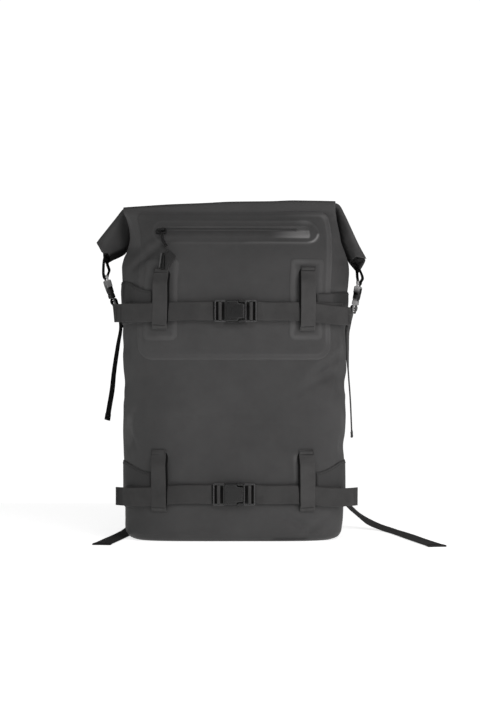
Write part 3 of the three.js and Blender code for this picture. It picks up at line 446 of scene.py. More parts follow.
# ------------------------------------------------------------------ materials
class Nodes:
    def __init__(self, name):
        self.mat = bpy.data.materials.new(name)
        self.mat.use_nodes = True
        self.t = self.mat.node_tree
        self.bsdf = self.t.nodes["Principled BSDF"]

    def node(self, kind, **values):
        n = self.t.nodes.new(kind)
        for k, v in values.items():
            setattr(n, k, v)
        return n

    def link(self, a, b):
        self.t.links.new(a, b)

    def math(self, op, a, b=None):
        n = self.node("ShaderNodeMath", operation=op)
        for k, v in enumerate((a, b)):
            if v is None:
                continue
            if isinstance(v, (int, float)):
                n.inputs[k].default_value = v
            else:
                self.link(v, n.inputs[k])
        return n.outputs[0]

    def noise(self, vector, scale, detail=3.0, rough=0.55):
        n = self.node("ShaderNodeTexNoise")
        n.inputs["Scale"].default_value = scale
        n.inputs["Detail"].default_value = detail
        n.inputs["Roughness"].default_value = rough
        self.link(vector, n.inputs["Vector"])
        return n.outputs["Fac"]

    def ramp(self, fac, stops):
        n = self.node("ShaderNodeValToRGB")
        while len(n.color_ramp.elements) < len(stops):
            n.color_ramp.elements.new(0.5)
        for e, (p, c) in zip(n.color_ramp.elements, stops):
            e.position = p
            e.color = (*c, 1) if len(c) == 3 else c
        self.link(fac, n.inputs["Fac"])
        return n.outputs["Color"]

    def bump(self, height, distance, strength=1.0, after=None):
        n = self.node("ShaderNodeBump")
        n.inputs["Strength"].default_value = strength
        n.inputs["Distance"].default_value = distance
        self.link(height, n.inputs["Height"])
        if after is not None:
            self.link(after, n.inputs["Normal"])
        return n.outputs["Normal"]


def grey(v, warm=0.0):
    return (v * (1 + warm), v, v * (1 - warm))


def coated(name, tone, rough, spec, weave=0.0, pitch=0.9, highlight_tone=3.2):
    """Coated fabric: fine pebbled skin over a faint weave and slow mottling, with painted highlights on sharp edges and
    where marked, and painted shade where marked.
    """
    m = Nodes(name)
    m.bsdf.inputs["Specular IOR Level"].default_value = spec
    co = m.node("ShaderNodeTexCoord")
    p = co.outputs["Object"]
    slow = m.noise(p, 11.0, 4.0, 0.6)
    mid = m.noise(p, 55.0, 5.0, 0.6)
    fine = m.noise(p, 1500.0, 2.0, 0.5)
    both = m.math("ADD", m.math("MULTIPLY", slow, 0.6), m.math("MULTIPLY", mid, 0.4))
    point = m.node("ShaderNodeNewGeometry").outputs["Pointiness"]
    body = m.ramp(both, [(0.3, grey(tone * 0.82, 0.004)), (0.5, grey(tone, 0.004)), (0.7, grey(tone * 1.18, 0.004))])
    # painted highlight on sharp convex edges, found from the pointiness
    painted_highlight = m.node("ShaderNodeMix", data_type="RGBA")
    edge = m.ramp(point, [(0.515, (0, 0, 0)), (0.60, (0.22, 0.22, 0.22))])
    m.link(edge, painted_highlight.inputs[0])
    m.link(body, painted_highlight.inputs[6])
    painted_highlight.inputs[7].default_value = (*grey(tone * 2.2, 0.004), 1)
    highlight_amount = m.node("ShaderNodeAttribute", attribute_name="painted_highlight").outputs["Fac"]
    painted_shade = m.node("ShaderNodeAttribute", attribute_name="painted_shade").outputs["Fac"]
    # painted highlight where the cloth is marked
    painted_light = m.node("ShaderNodeMix", data_type="RGBA")
    m.link(highlight_amount, painted_light.inputs[0])
    m.link(painted_highlight.outputs[2], painted_light.inputs[6])
    painted_light.inputs[7].default_value = (*grey(tone * highlight_tone, 0.004), 1)
    # painted shade, near black, where the cloth is marked
    deep = m.node("ShaderNodeMix", data_type="RGBA")
    m.link(painted_shade, deep.inputs[0])
    m.link(painted_light.outputs[2], deep.inputs[6])
    deep.inputs[7].default_value = (*grey(0.0022), 1)
    m.link(deep.outputs[2], m.bsdf.inputs["Base Color"])
    m.link(m.math("SUBTRACT", m.math("ADD", m.math("MULTIPLY", mid, 0.22), rough - 0.11), m.math("MULTIPLY", highlight_amount, 0.18)), m.bsdf.inputs["Roughness"])
    n = m.bump(fine, 0.00006, 0.5)
    if weave:
        uv = m.node("ShaderNodeSeparateXYZ")
        m.link(co.outputs["UV"], uv.inputs[0])
        k = 2 * math.pi / (pitch * 0.001)
        a = m.math("SINE", m.math("MULTIPLY", uv.outputs[0], k))
        b = m.math("SINE", m.math("MULTIPLY", uv.outputs[1], k))
        n = m.bump(m.math("MULTIPLY", a, b), 0.00005, weave, n)
    n = m.bump(mid, 0.0006, 0.25, n)
    m.link(n, m.bsdf.inputs["Normal"])
    return m.mat


def woven(name, tone, rough=0.82, spec=0.18, rib=1.25, sheen=0.06):
    """Webbing: twill ribs across the strap and fuzzy threads."""
    m = Nodes(name)
    m.bsdf.inputs["Specular IOR Level"].default_value = spec
    m.bsdf.inputs["Sheen Weight"].default_value = sheen
    m.bsdf.inputs["Sheen Roughness"].default_value = 0.5
    co = m.node("ShaderNodeTexCoord")
    uv = m.node("ShaderNodeSeparateXYZ")
    m.link(co.outputs["UV"], uv.inputs[0])
    u, v = uv.outputs[0], uv.outputs[1]
    k = 2 * math.pi / (rib * 0.001)
    lean = m.math("MULTIPLY", m.math("ABSOLUTE", m.math("SINE", m.math("MULTIPLY", u, math.pi / 0.0062))), 0.0011)
    across = m.math("SINE", m.math("MULTIPLY", m.math("ADD", v, lean), k))
    along = m.math("SINE", m.math("MULTIPLY", u, 2 * math.pi / 0.00155))
    weave = m.math("ADD", m.math("MULTIPLY", across, 0.6), m.math("MULTIPLY", m.math("MULTIPLY", along, across), 0.4))
    fuzz = m.noise(co.outputs["Object"], 2200.0, 2.0)
    slow = m.noise(co.outputs["Object"], 38.0, 3.0)
    shade = m.math("ADD", m.math("MULTIPLY", weave, 0.10), m.math("MULTIPLY", slow, 0.9))
    # painted shade: the webbing goes near black where marked
    deep = m.node("ShaderNodeMix", data_type="RGBA")
    m.link(m.node("ShaderNodeAttribute", attribute_name="painted_shade").outputs["Fac"], deep.inputs[0])
    m.link(m.ramp(shade, [(0.25, grey(tone * 0.82, 0.01)), (0.45, grey(tone, 0.01)), (0.7, grey(tone * 1.16, 0.01))]), deep.inputs[6])
    deep.inputs[7].default_value = (*grey(0.0012), 1)
    m.link(deep.outputs[2], m.bsdf.inputs["Base Color"])
    m.link(m.math("ADD", m.math("MULTIPLY", slow, 0.16), rough - 0.08), m.bsdf.inputs["Roughness"])
    n = m.bump(weave, 0.00011, 0.7)
    n = m.bump(fuzz, 0.00005, 0.6, n)
    m.link(n, m.bsdf.inputs["Normal"])
    return m.mat


def plastic(name, tone, rough, spec=0.5, grain=900.0, edge=0.8):
    """Moulded plastic: fine spark texture and handling scuffs, painted highlights on the rims where the edge mark is
    set, and painted reflections where marked.
    """
    m = Nodes(name)
    m.bsdf.inputs["Specular IOR Level"].default_value = spec
    co = m.node("ShaderNodeTexCoord")
    p = co.outputs["Object"]
    fine, scuff_and_reflection, slow = m.noise(p, grain, 3.0), m.noise(p, 160.0, 6.0, 0.7), m.noise(p, 40.0, 2.0)
    rim = m.node("ShaderNodeAttribute", attribute_name="edge").outputs["Fac"]
    body = m.ramp(slow, [(0.3, grey(tone * 0.85)), (0.7, grey(tone * 1.15))])
    # painted rim highlight from the edge mark
    painted_highlight = m.node("ShaderNodeMix", data_type="RGBA")
    m.link(m.ramp(rim, [(0.05, (0, 0, 0)), (0.95, (edge, edge, edge))]), painted_highlight.inputs[0])
    m.link(body, painted_highlight.inputs[6])
    painted_highlight.inputs[7].default_value = (*grey(0.16), 1)
    # painted reflection and glint, up to a pale grey, where marked
    painted_light = m.node("ShaderNodeMix", data_type="RGBA")
    m.link(m.node("ShaderNodeAttribute", attribute_name="painted_highlight").outputs["Fac"], painted_light.inputs[0])
    m.link(painted_highlight.outputs[2], painted_light.inputs[6])
    painted_light.inputs[7].default_value = (*grey(0.62), 1)
    m.link(painted_light.outputs[2], m.bsdf.inputs["Base Color"])
    m.link(m.math("ADD", m.math("MULTIPLY", scuff_and_reflection, 0.24), rough - 0.12), m.bsdf.inputs["Roughness"])
    m.link(m.bump(fine, 0.00004, 0.5), m.bsdf.inputs["Normal"])
    return m.mat


M_FABRIC = coated("coated_fabric_grey", 0.048, 0.62, 0.28, weave=0.18)
M_PANEL = coated("coated_fabric_panel", 0.047, 0.58, 0.30, weave=0.14, highlight_tone=4.3)
M_WING = coated("coated_fabric_wing", 0.036, 0.66, 0.24, weave=0.25)
M_LINING = coated("coated_fabric_inside", 0.020, 0.7, 0.2, weave=0.3)
M_WEB = woven("webbing_grey", 0.050)
# lighter and darker copies of the grey webbing: painted light for the loops on the right and painted shade for the
# lower left loop
M_WEB_LIT = woven("webbing_lit_copy", 0.058)
M_WEB_SHADED = woven("webbing_shade", 0.045)
M_WEB_DARK = woven("webbing_dark", 0.016, spec=0.10, sheen=0.03)
M_WEB_MID = woven("webbing_mid", 0.034, spec=0.12, sheen=0.03)
M_WEB_BLACK = woven("webbing_black", 0.003, spec=0.03, sheen=0.0)
M_THREAD = woven("thread_dark", 0.020, rib=0.5)
M_PLASTIC = plastic("moulded_black", 0.010, 0.30, 0.40)
M_CLIP = plastic("side_clip_black", 0.003, 0.42, 0.10, edge=0.8)
M_ZIP = coated("zip_tape_black", 0.034, 0.55, 0.3, weave=0.3, pitch=1.3)
M_METAL = plastic("zip_slider_dull", 0.018, 0.5, 0.2, edge=0.12)
M_CORD = woven("cord_black", 0.012, rib=0.9)
M_RUBBER = plastic("pull_rubber", 0.024, 0.6, 0.2, 1400.0, edge=0.0)
M_GRIP = plastic("pull_grip", 0.003, 0.5, 0.25, 1400.0, edge=0.05)
M_PAD = coated("pad_fabric_grey", 0.030, 0.75, 0.2, weave=0.5, pitch=1.4)
M_BIND = woven("pad_binding", 0.026)

# ------------------------------------------------------------------ top line of the folded front
RIM_Z = 451.0


def top_line(x):
    return 465.2 - 8.6 * (np.clip(92 - np.asarray(x, float), 0, 400) / 238) ** 1.8


# centre line of the roll: place, tilt of its flat section out of the picture, lean of the section from upright, half width, half thickness
ROLL = np.array([
    (-183.2, -2, 393.6, 2, 26.7, 16.7, 5.6), (-172.4, 1, 404.2, 3, 15.6, 21.7, 6.4), (-161.8, 5, 414.0, 6, 8.9, 27.6, 6.8),
    (-152.5, 10, 423.4, 10, 4.5, 33.6, 6.5), (-142.0, 14, 434.0, 34, 1.5, 26.0, 6.2), (-112, 13.5, 444.6, 62, 0, 18.5, 6.2),
    (-60, 11, 447.8, 63, 0, 18.5, 6.2), (-5, 10, 450.0, 63, 0, 18.5, 6.2), (52, 10, 451.2, 63, 0, 18.5, 6.2), (102, 11, 451.4, 62, 0, 18.5, 6.2),
    (123, 13, 451.6, 58, -10, 18.5, 6.2), (138.2, 15, 452.2, 50, -30, 18, 6.2), (145.6, 14, 439.3, 44, -44, 17, 6.2), (152.5, 11, 421.5, 35, -59, 15.5, 6.2),
    (161.3, 6, 402, 28, -69, 14.3, 6.4), (172, 1, 382.5, 20, -76, 13.2, 6.6)], float)
ROLL_HALF, ROLL_PLIES, ROLL_PITCH, ROLL_PLY, ROLL_TURNS = 18.5, 6.2, 2.35, 1.25, 2.45


# ------------------------------------------------------------------ bag skin
def bag_skin():
    mesh = Mesh()
    half = 435.0
    fr = np.concatenate([np.arange(0, 166, 2.0), np.arange(166, 262, 3.4), np.arange(262, half, 6.5)]) / half
    fr = np.append(fr, 1.0)
    F = np.concatenate([-fr[:0:-1], fr[:-1]])
    Z = np.concatenate([[0, .4, .9, 1.5, 2.3, 3.2, 4.4, 6, 8], np.arange(10, 60, 2.2), np.arange(60, 246, 2.5), np.arange(246, 300, 4.0),
                        np.arange(300, 372, 3.0), np.arange(372, 451, 2.2), [RIM_Z]])
    S = F[None, :] * girth(Z)[:, None]
    ZZ = np.broadcast_to(Z[:, None], S.shape)
    sink = 5.0 * stadium_mask(S, ZZ)
    P = on_bag(S, ZZ, -sink)
    P[0, :, 2] = 0
    P[..., 2] = np.maximum(P[..., 2], 0.0)
    UV = np.stack([S, ZZ], -1)
    i = mesh.index(P, UV)
    mesh.skin(i, 0, wrap=True)
    # painted shade: darker towards the base with a painted shadow line at the lower right, darker on the left side, and
    # the painted shade of the valley, the lower clip and the lower belt
    foot = 0.22 * (1 - smooth(0, 17, ZZ)) + 0.55 * np.exp(-((ZZ - 3.0) / 1.6) ** 2) * smooth(46, 58, S) * (1 - smooth(92, 104, S))
    mesh.mark("painted_shade", i, foot + 0.09 * smooth(-30, -130, S) + valley(S, ZZ) + clip_shade(S, ZZ, 0.1, 63.9) + belt_shade(S, ZZ))
    # painted highlights: a lit facet on the left edge, light along the folds of the right edge, lit cloth by the roll's
    # left end and painted light beside the lower right loop's left edge, where its shadow falls
    left_facet = 0.20 * smooth(-138, -146, S) * (1 - smooth(12, 28, np.abs(ZZ - 148) + 0.35 * np.abs(S + 148)))
    right_edge = 0.15 * smooth(146, 153, S) * (1 - smooth(172, 190, S)) * smooth(100, 130, ZZ) * (1 - smooth(280, 296, ZZ)) * (0.6 + 0.4 * np.sin(ZZ / 7.5 + S / 9)) * (1 - 0.85 * np.exp(-((ZZ - 221) / 11) ** 2))
    left_top = 0.20 * smooth(-118, -134, S) * smooth(394, 404, ZZ) * (1 - smooth(442, 452, ZZ)) * (S > -170)
    beside = 0.42 * np.exp(-((S - 83.8) / 2.6) ** 2) * smooth(74, 84, ZZ) * (1 - smooth(112, 120, ZZ))
    mesh.mark("painted_highlight", i, (left_facet * (S > -170) + right_edge + left_top + beside))
    # flat base
    scale = np.array([0.93, 0.8, 0.6, 0.36, 0.14])
    ring0 = P[0]
    rings = np.array([np.column_stack([ring0[:, 0] * k, ring0[:, 1] * k, np.full(len(ring0), 0.35 * (1 - k))]) for k in scale])
    b = mesh.index(rings, rings[..., :2])
    mesh.bridge(i[0], b[0], 0, wrap=True)
    mesh.skin(b, 0, wrap=True)
    k = mesh.points([[0, 0, 0.35]])
    mesh.add([(k, b[-1][m], b[-1][(m + 1) % len(F)]) for m in range(len(F))], 0)
    # inner wall
    ZI = np.concatenate([[RIM_Z], np.arange(446, 12, -7.0), [8, 3.2]])
    SI = F[None, :] * girth(ZI)[:, None]
    ZZI = np.broadcast_to(ZI[:, None], SI.shape)
    PI = on_bag(SI, ZZI, -SKIN_WALL - 0.5 - 5.2 * stadium_mask(SI, ZZI))
    PI[-1, :, 2] = np.maximum(PI[-1, :, 2], 2.2)
    j = mesh.index(PI, np.stack([SI, ZZI], -1))
    mesh.skin(j, 1, wrap=True)
    c = mesh.points([[0, 0, 2.0]])
    mesh.add([(c, j[-1][m], j[-1][(m + 1) % len(F)]) for m in range(len(F))], 1)
    # folded front: the front wall runs on over the roll and tucks in behind it
    rim = P[-1]
    yc = (bag_front(RIM_Z) + bag_back(RIM_Z)) / 2
    cols = np.where(rim[:, 1] < yc + 0.2)[0]
    order = cols[np.argsort(F[cols])]
    outer, inner, uv = [], [], []
    rc, ridx = catmull(ROLL[4:12, :3], 2.0)
    rt = np.interp(ridx, np.arange(8), ROLL[4:12, 3])
    for m in order:
        x, y0, z0 = rim[m]
        zt = float(top_line(x))
        ry, tilt = np.interp(x, rc[:, 0], rc[:, 1]), math.radians(float(np.interp(x, rc[:, 0], rt)))
        yb = ry + 12.3 * math.sin(tilt) + 8.2
        ctl = np.array([(y0, z0), (y0 + 0.6, lerp(z0, zt, 0.5)), (y0 + 2.6, zt - 1.5), (y0 + 6.5, zt - 0.25), (y0 + 12, zt), (lerp(y0 + 12, yb, 0.5), zt - 0.5),
                        (yb - 7, zt - 1.2), (yb - 1.8, zt - 4.2), (yb + 0.3, zt - 9), (yb - 2.0, zt - 14.5), (yb - 8, zt - 19), (yb - 14, zt - 21.5)])
        line, _ = catmull(np.column_stack([np.full(len(ctl), x), ctl]), 2.4)
        run = np.concatenate([[0], np.cumsum(np.linalg.norm(np.diff(line, axis=0), axis=1))])
        v = np.linspace(0, 1, 44) ** 1.15 * run[-1]
        L = np.stack([np.interp(v, run, line[:, q]) for q in range(3)], -1)
        t = unit(np.gradient(L, axis=0))
        nrm = np.stack([np.zeros(len(L)), -t[:, 2], t[:, 1]], -1)
        wave = 0.35 * np.sin(x / 15 + v / 9) * smooth(8, 20, v) + 0.25 * np.sin(x / 7.0 - v / 6) * smooth(14, 26, v)
        L = L + nrm * wave[:, None]
        outer.append(L)
        inner.append(L - nrm * 1.3)
        uv.append(np.stack([np.full(len(v), x), 451 + v], -1))
    O, I, U = (np.array(q).transpose(1, 0, 2) for q in (outer, inner, uv))
    a = mesh.index(O[1:], U[1:])
    a = np.vstack([i[-1][order][None], a])
    mesh.skin(a, 0)
    bI = mesh.index(I, U)
    mesh.skin(bI[:, ::-1], 1)
    mesh.bridge(a[-1], bI[-1], 0)
    mesh.bridge(a[:, 0], bI[:, 0], 0)
    mesh.bridge(a[:, -1], bI[:, -1], 0)
    # rim: close to the inner wall, at the front through the fold's own inner face
    ring_o, ring_i = i[-1], j[0]
    n, front = len(F), set(order.tolist())
    pos = {m: q for q, m in enumerate(order)}
    for m in range(n):
        w = (m + 1) % n
        if m in front and w in front:
            mesh.add([(bI[0][pos[m]], bI[0][pos[w]], ring_i[w], ring_i[m])], 1)
        else:
            mesh.add([(ring_o[m], ring_o[w], ring_i[w], ring_i[m])], 0)
    for m, side in ((order[0], 0), (order[-1], -1)):
        mesh.add([(ring_o[m], bI[0][pos[m]], ring_i[m])], 0)
    return mesh.build("bag_skin", [M_FABRIC, M_LINING], ["bag_shell"])


# ------------------------------------------------------------------ pocket panel and zip
PANEL_S, PANEL_LOW, PANEL_HIGH = 128.5, 248.6, 445.6
ZIP_Z, ZIP_LONG, ZIP_TALL = 419.2, 113.5, 16.2


def rounded_rect(s, z, half, low, high, r_low, r_high):
    """Signed distance to a rounded outline, negative inside."""
    zc = (low + high) / 2
    r = np.where(z < zc, r_low, r_high)
    dx, dz = np.abs(s) - (half - r), np.where(z < zc, (low + r) - z, z - (high - r))
    return np.hypot(np.maximum(dx, 0), np.maximum(dz, 0)) + np.minimum(np.maximum(dx, dz), 0) - r


def stadium(s, z, long_=ZIP_LONG, tall=ZIP_TALL, mid=ZIP_Z):
    return np.hypot(np.maximum(0, np.abs(s) - (long_ - tall)), z - mid) - tall


def stadium_mask(s, z):
    return 1 - smooth(-4, 3, stadium(s, z))


def bead(d, wide, tall):
    return tall * np.exp(-(d / wide) ** 2)


def panel_edge(s, z):
    return rounded_rect(s, z, PANEL_S, PANEL_LOW, PANEL_HIGH, 19.0, 9.0)


def zip_dip(s, z):
    """Recess along the zip: a sharp upper lip over a long slope that opens towards the right end."""
    v = z - ZIP_Z
    open_ = smooth(20, 95, s)
    ends = smooth(-108, -98, s) * (1 - smooth(95.5, 103.5, s + 0.055 * np.maximum(0, np.abs(v + 1.0) - 2.0) ** 2))
    upper = 1 - smooth(5.0, 8.2, v)
    lower = smooth(-8.0, 4.4, v)
    return (2.0 + 1.5 * open_) * upper * lower ** 1.15 * ends * (1 - 0.55 * smooth(76, 98, s) * smooth(1.5, 5.5, v))


def panel_level(s, z):
    """Height of the pocket's outer face over the bag."""
    rim = panel_edge(s, z)
    full_level = smooth(40, 112, s) + (1 - smooth(262, 300, z))
    sheet = lerp(-0.9, lerp(0.3, 1.0, np.clip(full_level + smooth(10, 40, -rim), 0, 1)), smooth(6.0, 1.5, rim))
    foot = 1 - smooth(258, 275, z)
    out = sheet + np.exp(-np.abs(rim / lerp(3.9, 3.0, foot)) ** 3) * lerp(0.7, 0.36, foot) * np.clip(0.12 + full_level, 0, 1) * (1 - 0.8 * foot * smooth(108, 124, np.abs(s))) + 0.3 * smooth(0, -10, rim)
    d = stadium(s, z)
    out = out + bead(d + 0.8, 2.2, 0.5) * lerp(0.35, 1, smooth(-60, 60, s)) + 0.15 * smooth(2.5, -2.5, d)
    return out - zip_dip(s, z)


def panel_highlight(s, z):
    """Painted highlights on the ridges of the pocket and the zip's lip, a painted glint at the lip's right end and
    painted light on the bevel under the zip, stronger towards the right and the top.
    """
    rim, d, v = panel_edge(s, z), stadium(s, z), z - ZIP_Z
    foot = 1 - smooth(256, 266, z)
    side = 0.72 * lerp(0.03, 0.24, smooth(-130, 130, s)) * (1 - 0.35 * foot) + 0.03 * foot
    side = side * (1 - 0.75 * smooth(112, 124, np.abs(s)) * (1 - smooth(262, 276, z)))
    band = np.exp(-np.abs(rim / 4.2) ** 3) * 0.55 + 0.45 * np.exp(-((np.abs(rim) - 3.2) / 1.2) ** 2)
    ridge = band * side * (1 - 0.9 * smooth(112, 60, s) * smooth(425, 438, z)) * (1 - 0.9 * smooth(-100, -120, s) * smooth(292, 306, z))
    lip = np.exp(-((d + 0.8) / 1.5) ** 2) * ((0.12 + 0.10 * smooth(10, 100, s)) * smooth(6, 18, s) * (1 - smooth(100, 106, s)) * (v < 0) + 0.05 + 0.95 * smooth(95, 102, s) * smooth(-1.5, -5, v) * smooth(-15.8, -14.0, v))
    wedge = smooth(40, 96, s) * (1 - smooth(99.5, 102.5, s + 0.05 * np.maximum(0, np.abs(v + 2) - 2.0) ** 2)) * smooth(-10.0, -7.4, v) * (1 - smooth(0.8, 4.4, v))
    slope = 0.035 * smooth(-9.5, -7, v) * (1 - smooth(-3.5, 0.5, v)) * smooth(-96, -50, s) * (1 - smooth(90, 100, s))
    return np.maximum(np.maximum(ridge, lip), np.maximum(wedge, slope)) + 0.035 * smooth(390, 432, z)


def panel_shade(s, z):
    """Painted shadow under the zip's upper lip, with the painted shade of the valley and behind the upper clip added.
    """
    v = z - ZIP_Z
    line = np.exp(-np.abs((v - 4.6 - 0.2 * np.sin(s / 19)) / 3.6) ** 3) * smooth(-100, -90, s) * (1 - smooth(54, 84, s))
    return 0.26 * line * lerp(0.8, 1.0, smooth(-60, 0, s)) + valley(s, z) + clip_shade(s, z, 2.1, 310.8)


def clip_shade(s, z, mid, high):
    """Shade kept behind a clip."""
    under = (0.5 if high > 200 else 0.0) * (1 - smooth(14, 18, np.abs(s - mid))) * np.exp(-((z - high + 16.4) / 2.1) ** 2)
    return np.maximum(under, 0.95 * (1 - smooth(24.5, 27.5, np.abs(s - mid))) * (1 - smooth(11.5, 14, np.abs(z - high))))


def belt_shade(s, z):
    """Painted shadow of the lower belt's slack strands on the bag, a painted shadow line under them, and painted shade
    on the bag's right edge and on a fold.
    """
    a = np.abs(s)
    top = lerp(76.5, 80.5, np.clip((a - 25) / 55, 0, 1))
    band = np.where(s < 0, 0.24, 0.14) * smooth(19, 25, a) * (1 - smooth(84, 88, a)) * smooth(top + 1.2, top - 1.2, z) * smooth(58, 62, z)
    line = 0.3 * np.exp(-((z - 50.2) / 1.5) ** 2) * smooth(24, 30, a) * (1 - smooth(86, 92, a))
    right = (0.12 * smooth(122, 130, s) + 0.20 * smooth(132, 150, s)) * smooth(338, 350, z) * (1 - smooth(376, 388, z))
    fold = 0.16 * smooth(112, 126, s) * np.exp(-((z - 220) / 9) ** 2)
    return band + line + right + fold


def valley(s, z):
    """Painted shade in the soft valley under the zip's left end."""
    u, v = (s + 118) * 0.82 + (z - 386) * 0.57, -(s + 118) * 0.57 + (z - 386) * 0.82
    return 0.20 * np.exp(-(u / 19) ** 2 - (v / 7.5) ** 2) + 0.16 * np.exp(-((s + 123) / 8) ** 2 - ((z - 393) / 6) ** 2) + 0.13 * np.exp(-((s + 142) / 8) ** 2 - ((z - 388) / 7) ** 2)


def pocket_panel():
    mesh = Mesh()
    s = np.concatenate([np.arange(-135, -121, 0.9), np.arange(-121, -92, 0.8), np.arange(-92, 84, 1.5), np.arange(84, 121, 0.6), np.arange(121, 135.1, 0.8)])
    z = np.concatenate([np.arange(244.5, 258, 0.8), np.arange(258, 400, 2.4), np.arange(400, 438, 0.5), np.arange(438, 451.2, 0.7)])
    S, Z = np.meshgrid(s, z)
    O = on_bag(S, Z, panel_level(S, Z))
    I = on_bag(S, Z, np.minimum(-1.2, panel_level(S, Z) - 1.0))
    a, _ = mesh.sheet(O, I, np.stack([S, Z], -1))
    # painted light and shade on the pocket: a painted glare on the top right ridges, painted highlights on the ridges
    # and lip, painted shade by the lip, the valley and the upper clip
    painted_glare = 0.22 * np.exp(-((S - 97) / 9) ** 2 - ((Z - 433) / 4) ** 2) + 0.2 * np.exp(-((S - 126) / 5) ** 2 - ((Z - 441) / 5) ** 2)
    mesh.mark("painted_highlight", a, panel_highlight(S, Z) + painted_glare)
    mesh.mark("painted_shade", a, panel_shade(S, Z))
    return mesh.build("pocket_front", [M_PANEL], ["pocket_panel"])


def zip_tape():
    mesh = Mesh()
    s = np.linspace(-101.5, 84, 260)
    v = np.array([-2.6, -1.9, -1.1, -0.5, -0.3, -0.12, 0, 0.12, 0.3, 0.5, 1.1, 1.6, 2.0])
    lift = np.array([-.5, 0, .25, .38, .34, .15, 0, .15, .34, .38, .25, .1, -.4])
    S, V = np.meshgrid(s, v)
    Z = ZIP_Z + 4.6 + V * 0.9
    low = panel_level(S, np.full_like(S, ZIP_Z + 4.2))
    off = low + 0.55 + lift[:, None] + 0.05 * np.sin(S * 2 * math.pi / 2.6) * np.exp(-(V / 1.4) ** 2)
    O = on_bag(S, Z, off)
    I = on_bag(S, Z, off - 0.7)
    mesh.sheet(O, I, np.stack([S, Z], -1))
    return mesh.build("zip_tape_coil", [M_ZIP], ["zip_tape"])


def local_frame(s, z):
    """Axes of a place on the bag: across, up, out, and the place itself."""
    n = normal(np.array(s, float), np.array(z, float))
    a = unit(base(s + 3, z) - base(s - 3, z))
    return a, np.cross(n, a), n


def laid(s, z, off):
    a, u, n = local_frame(s, z)
    p = on_bag(s, z, off)
    return lambda P: p + P[..., 0:1] * a + P[..., 1:2] * u + P[..., 2:3] * n


PULL_S = -101.0


def zip_slider():
    mesh = Mesh()
    flat = laid(PULL_S, ZIP_Z + 0.4, 0.2)

    def put(P):
        return flat(P * np.array([1.1, 1.05, 1.0]))
    body = fillet([(-7.2, -3.0), (-3, -4.6), (4.5, -4.6), (6.6, -2.6), (6.6, 2.6), (4.5, 4.6), (-3, 4.6), (-7.2, 3.0)], 1.2)
    moulded(mesh, body, [], 0, 1.6, 0.5, put)
    moulded(mesh, fillet([(-6.4, -2.4), (-2.6, -3.9), (4.2, -3.9), (5.8, -2.2), (5.8, 2.2), (4.2, 3.9), (-2.6, 3.9), (-6.4, 2.4)], 1.0), [], 2.4, 4.0, 0.55, put)
    moulded(mesh, fillet([(-5.6, -1.3), (-1.4, -1.3), (-1.4, 1.3), (-5.6, 1.3)], 0.5), [], 1.2, 3.0, 0.2, put)
    arch = np.array([(5.0, 0, 3.6), (5.2, 0, 5.2), (3.8, 0, 6.4), (0.5, 0, 6.6), (-2.4, 0, 6.0), (-3.8, 0, 4.6), (-3.9, 0, 3.6)], float)
    line, _ = catmull(arch, 0.6)
    webbing(mesh, put(line), put(np.array([0, 1.0, 0])) - put(np.array([0, 0.0, 0])), 2.6, 1.2)
    # eye that hangs from the bridge and takes the cord
    ring = [(2.6 * math.cos(q) + 1.0, -3.0 + 2.9 * math.sin(q), 5.0 + 0.25 * math.sin(q)) for q in np.linspace(0, 2 * math.pi, 33)]
    tube(mesh, put(np.array(ring)), 0.75, 1, 8)
    moulded(mesh, fillet([(0.8, -1.7), (5.6, -1.7), (5.6, 1.9), (0.8, 1.9)], 0.7), [], 3.8, 7.0, 0.4, put, mat=1)
    return mesh.build("zip_slider_body", [M_METAL, M_GRIP], ["zip_slider"], weighted=True)


# looped pull cord: middle line of its two strands, from the slider's eye down to the tab
CORD = [(-100, 413), (-99, 407), (-96.4, 400.8), (-93.4, 396.2)]
CORD_OFF, CORD_GAP, CORD_D = 6.9, 1.08, 2.0
TAB_S, TAB_Z = -91.0, 380.0


def cord_path():
    c = np.array(CORD, float)
    d = unit(np.gradient(c, axis=0))

    def strand(side):
        return [on_bag(p[0] - side * CORD_GAP * q[1], p[1] + side * CORD_GAP * q[0], CORD_OFF) for p, q in zip(c, d)]
    pts = strand(-1)[::-1] + [on_bag(CORD[0][0] - 0.1, CORD[0][1] + 1.5, CORD_OFF)] + strand(1)
    return catmull(np.array(pts), 0.8)[0]


